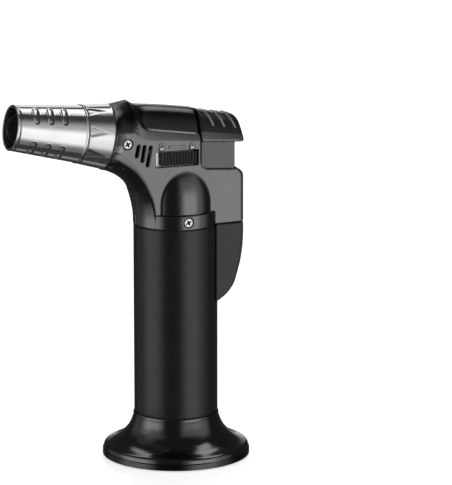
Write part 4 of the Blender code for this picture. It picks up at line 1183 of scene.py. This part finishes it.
def build_sky(tree):
    """Writes the panels' light into the world's node tree."""
    def calculated(operation, *values):
        made = tree.nodes.new("ShaderNodeMath")
        made.operation = operation
        for index, value in enumerate(values):
            feed(tree, made.inputs[index], value)
        return made.outputs[0]

    def in_degrees(radians):
        return calculated("MULTIPLY", radians, 180.0 / math.pi)

    def step(value, start, end):
        made = map_range(tree, value, start, end, 0.0, 1.0)
        made.interpolation_type = "SMOOTHSTEP"
        return made.outputs["Result"]

    def band(value, low, high, soft):
        rise = step(value, low - soft, low + soft)
        fall = step(value, high - soft, high + soft)
        return calculated("SUBTRACT", rise, fall)

    direction = tree.nodes.new("ShaderNodeTexCoord").outputs["Generated"]
    parts = tree.nodes.new("ShaderNodeSeparateXYZ")
    tree.links.new(direction, parts.inputs[0])
    backwards = calculated("MULTIPLY", parts.outputs[1], -1.0)
    azimuth = in_degrees(calculated("ARCTAN2", parts.outputs[0], backwards))
    wrapped = calculated("WRAP", azimuth, 360.0, 0.0)
    elevation = in_degrees(calculated("ARCSINE", parts.outputs[2]))
    total = STUDIO_FILL
    for az_low, az_high, az_soft, el_low, el_high, el_soft, strength in STUDIO_PANELS:
        around = wrapped if az_high > 180 else azimuth
        share = calculated("MULTIPLY", band(around, az_low, az_high, az_soft),
                           band(elevation, el_low, el_high, el_soft))
        total = calculated("MULTIPLY_ADD", share, strength, total)
    return total


def build_studio():
    """A pale floor and backdrop for the camera, and soft panels of light for the torch."""
    scene = bpy.context.scene
    scene.view_settings.view_transform = "Standard"
    build_floor()
    build_lamp()
    white = (1.0, 1.0, 1.0, 1.0)
    world = bpy.data.worlds.new("studio")
    world.use_nodes = True
    tree = world.node_tree
    backdrop = tree.nodes["Background"]
    backdrop.inputs["Color"].default_value = white
    backdrop.inputs["Strength"].default_value = 1.0
    panels = tree.nodes.new("ShaderNodeBackground")
    panels.inputs["Color"].default_value = white
    tree.links.new(build_sky(tree), panels.inputs["Strength"])
    seen = tree.nodes.new("ShaderNodeMixShader")
    tree.links.new(tree.nodes.new("ShaderNodeLightPath").outputs["Is Camera Ray"], seen.inputs[0])
    tree.links.new(panels.outputs[0], seen.inputs[1])
    tree.links.new(backdrop.outputs[0], seen.inputs[2])
    tree.links.new(seen.outputs[0], tree.nodes["World Output"].inputs["Surface"])
    scene.world = world


def build_floor():
    """A floor that the camera sees, and that neither shades nor mirrors in the torch."""
    reach = 6.0
    mesh = bpy.data.meshes.new("floor")
    mesh.from_pydata([(-reach, -reach, 0), (reach, -reach, 0), (reach, reach, 0), (-reach, reach, 0)],
                     [], [(0, 1, 2, 3)])
    mesh.materials.append(white_studio_floor())
    floor = added("floor", mesh)
    floor.visible_glossy = floor.visible_diffuse = floor.visible_shadow = False


def build_lamp():
    """A wide soft lamp above, which gives no highlights."""
    data = bpy.data.lights.new("overhead", "AREA")
    data.shape = "RECTANGLE"
    data.size = data.size_y = 1.2
    data.energy = 6.0
    data.specular_factor = 0.0
    lamp = added("overhead", data)
    lamp.visible_glossy = False
    lamp.location = (0.1, -0.2, 1.2)


def build_camera():
    """A distant camera with a long lens, in front of the torch's left side and a little above it.

    It looks past a target on the tank's axis, which is seen to the left of the middle of the view
    and below it. At the target's distance the view is view_height high.
    """
    turn, rise, distance = math.radians(21.75), math.radians(12.87), 1500.0
    view_height = 208.2439
    to_right, upwards = -21.6831, -12.7093
    back = Vector((-math.sin(turn) * math.cos(rise), -math.cos(turn) * math.cos(rise), math.sin(rise)))
    target = Vector((0.0, 0.0, 80.0))
    spot = target + back * distance
    forward = -back
    for _ in range(6):
        right = forward.cross(Vector((0, 0, 1))).normalized()
        up = right.cross(forward)
        look = target - right * to_right - up * upwards
        forward = (look - spot).normalized()
    right = forward.cross(Vector((0, 0, 1))).normalized()
    up = right.cross(forward)
    data = bpy.data.cameras.new("camera")
    data.sensor_width = 36.0
    data.lens = distance / view_height * data.sensor_width
    data.clip_end = 50.0
    made = added("camera", data)
    turned = Matrix((right, up, -forward)).transposed().to_4x4()
    made.matrix_world = Matrix.Translation((spot + Vector((AXIS_X, 0, 0))) * MM) @ turned
    bpy.context.scene.camera = made


build_studio()
build_camera()
paint_cad_nodes()
build_head()
build_button()
build_tail()
build_lock()
build_foot()
build_dial()
build_tank()
build_screws()
build_nozzle()
build_springs()
build_hose()
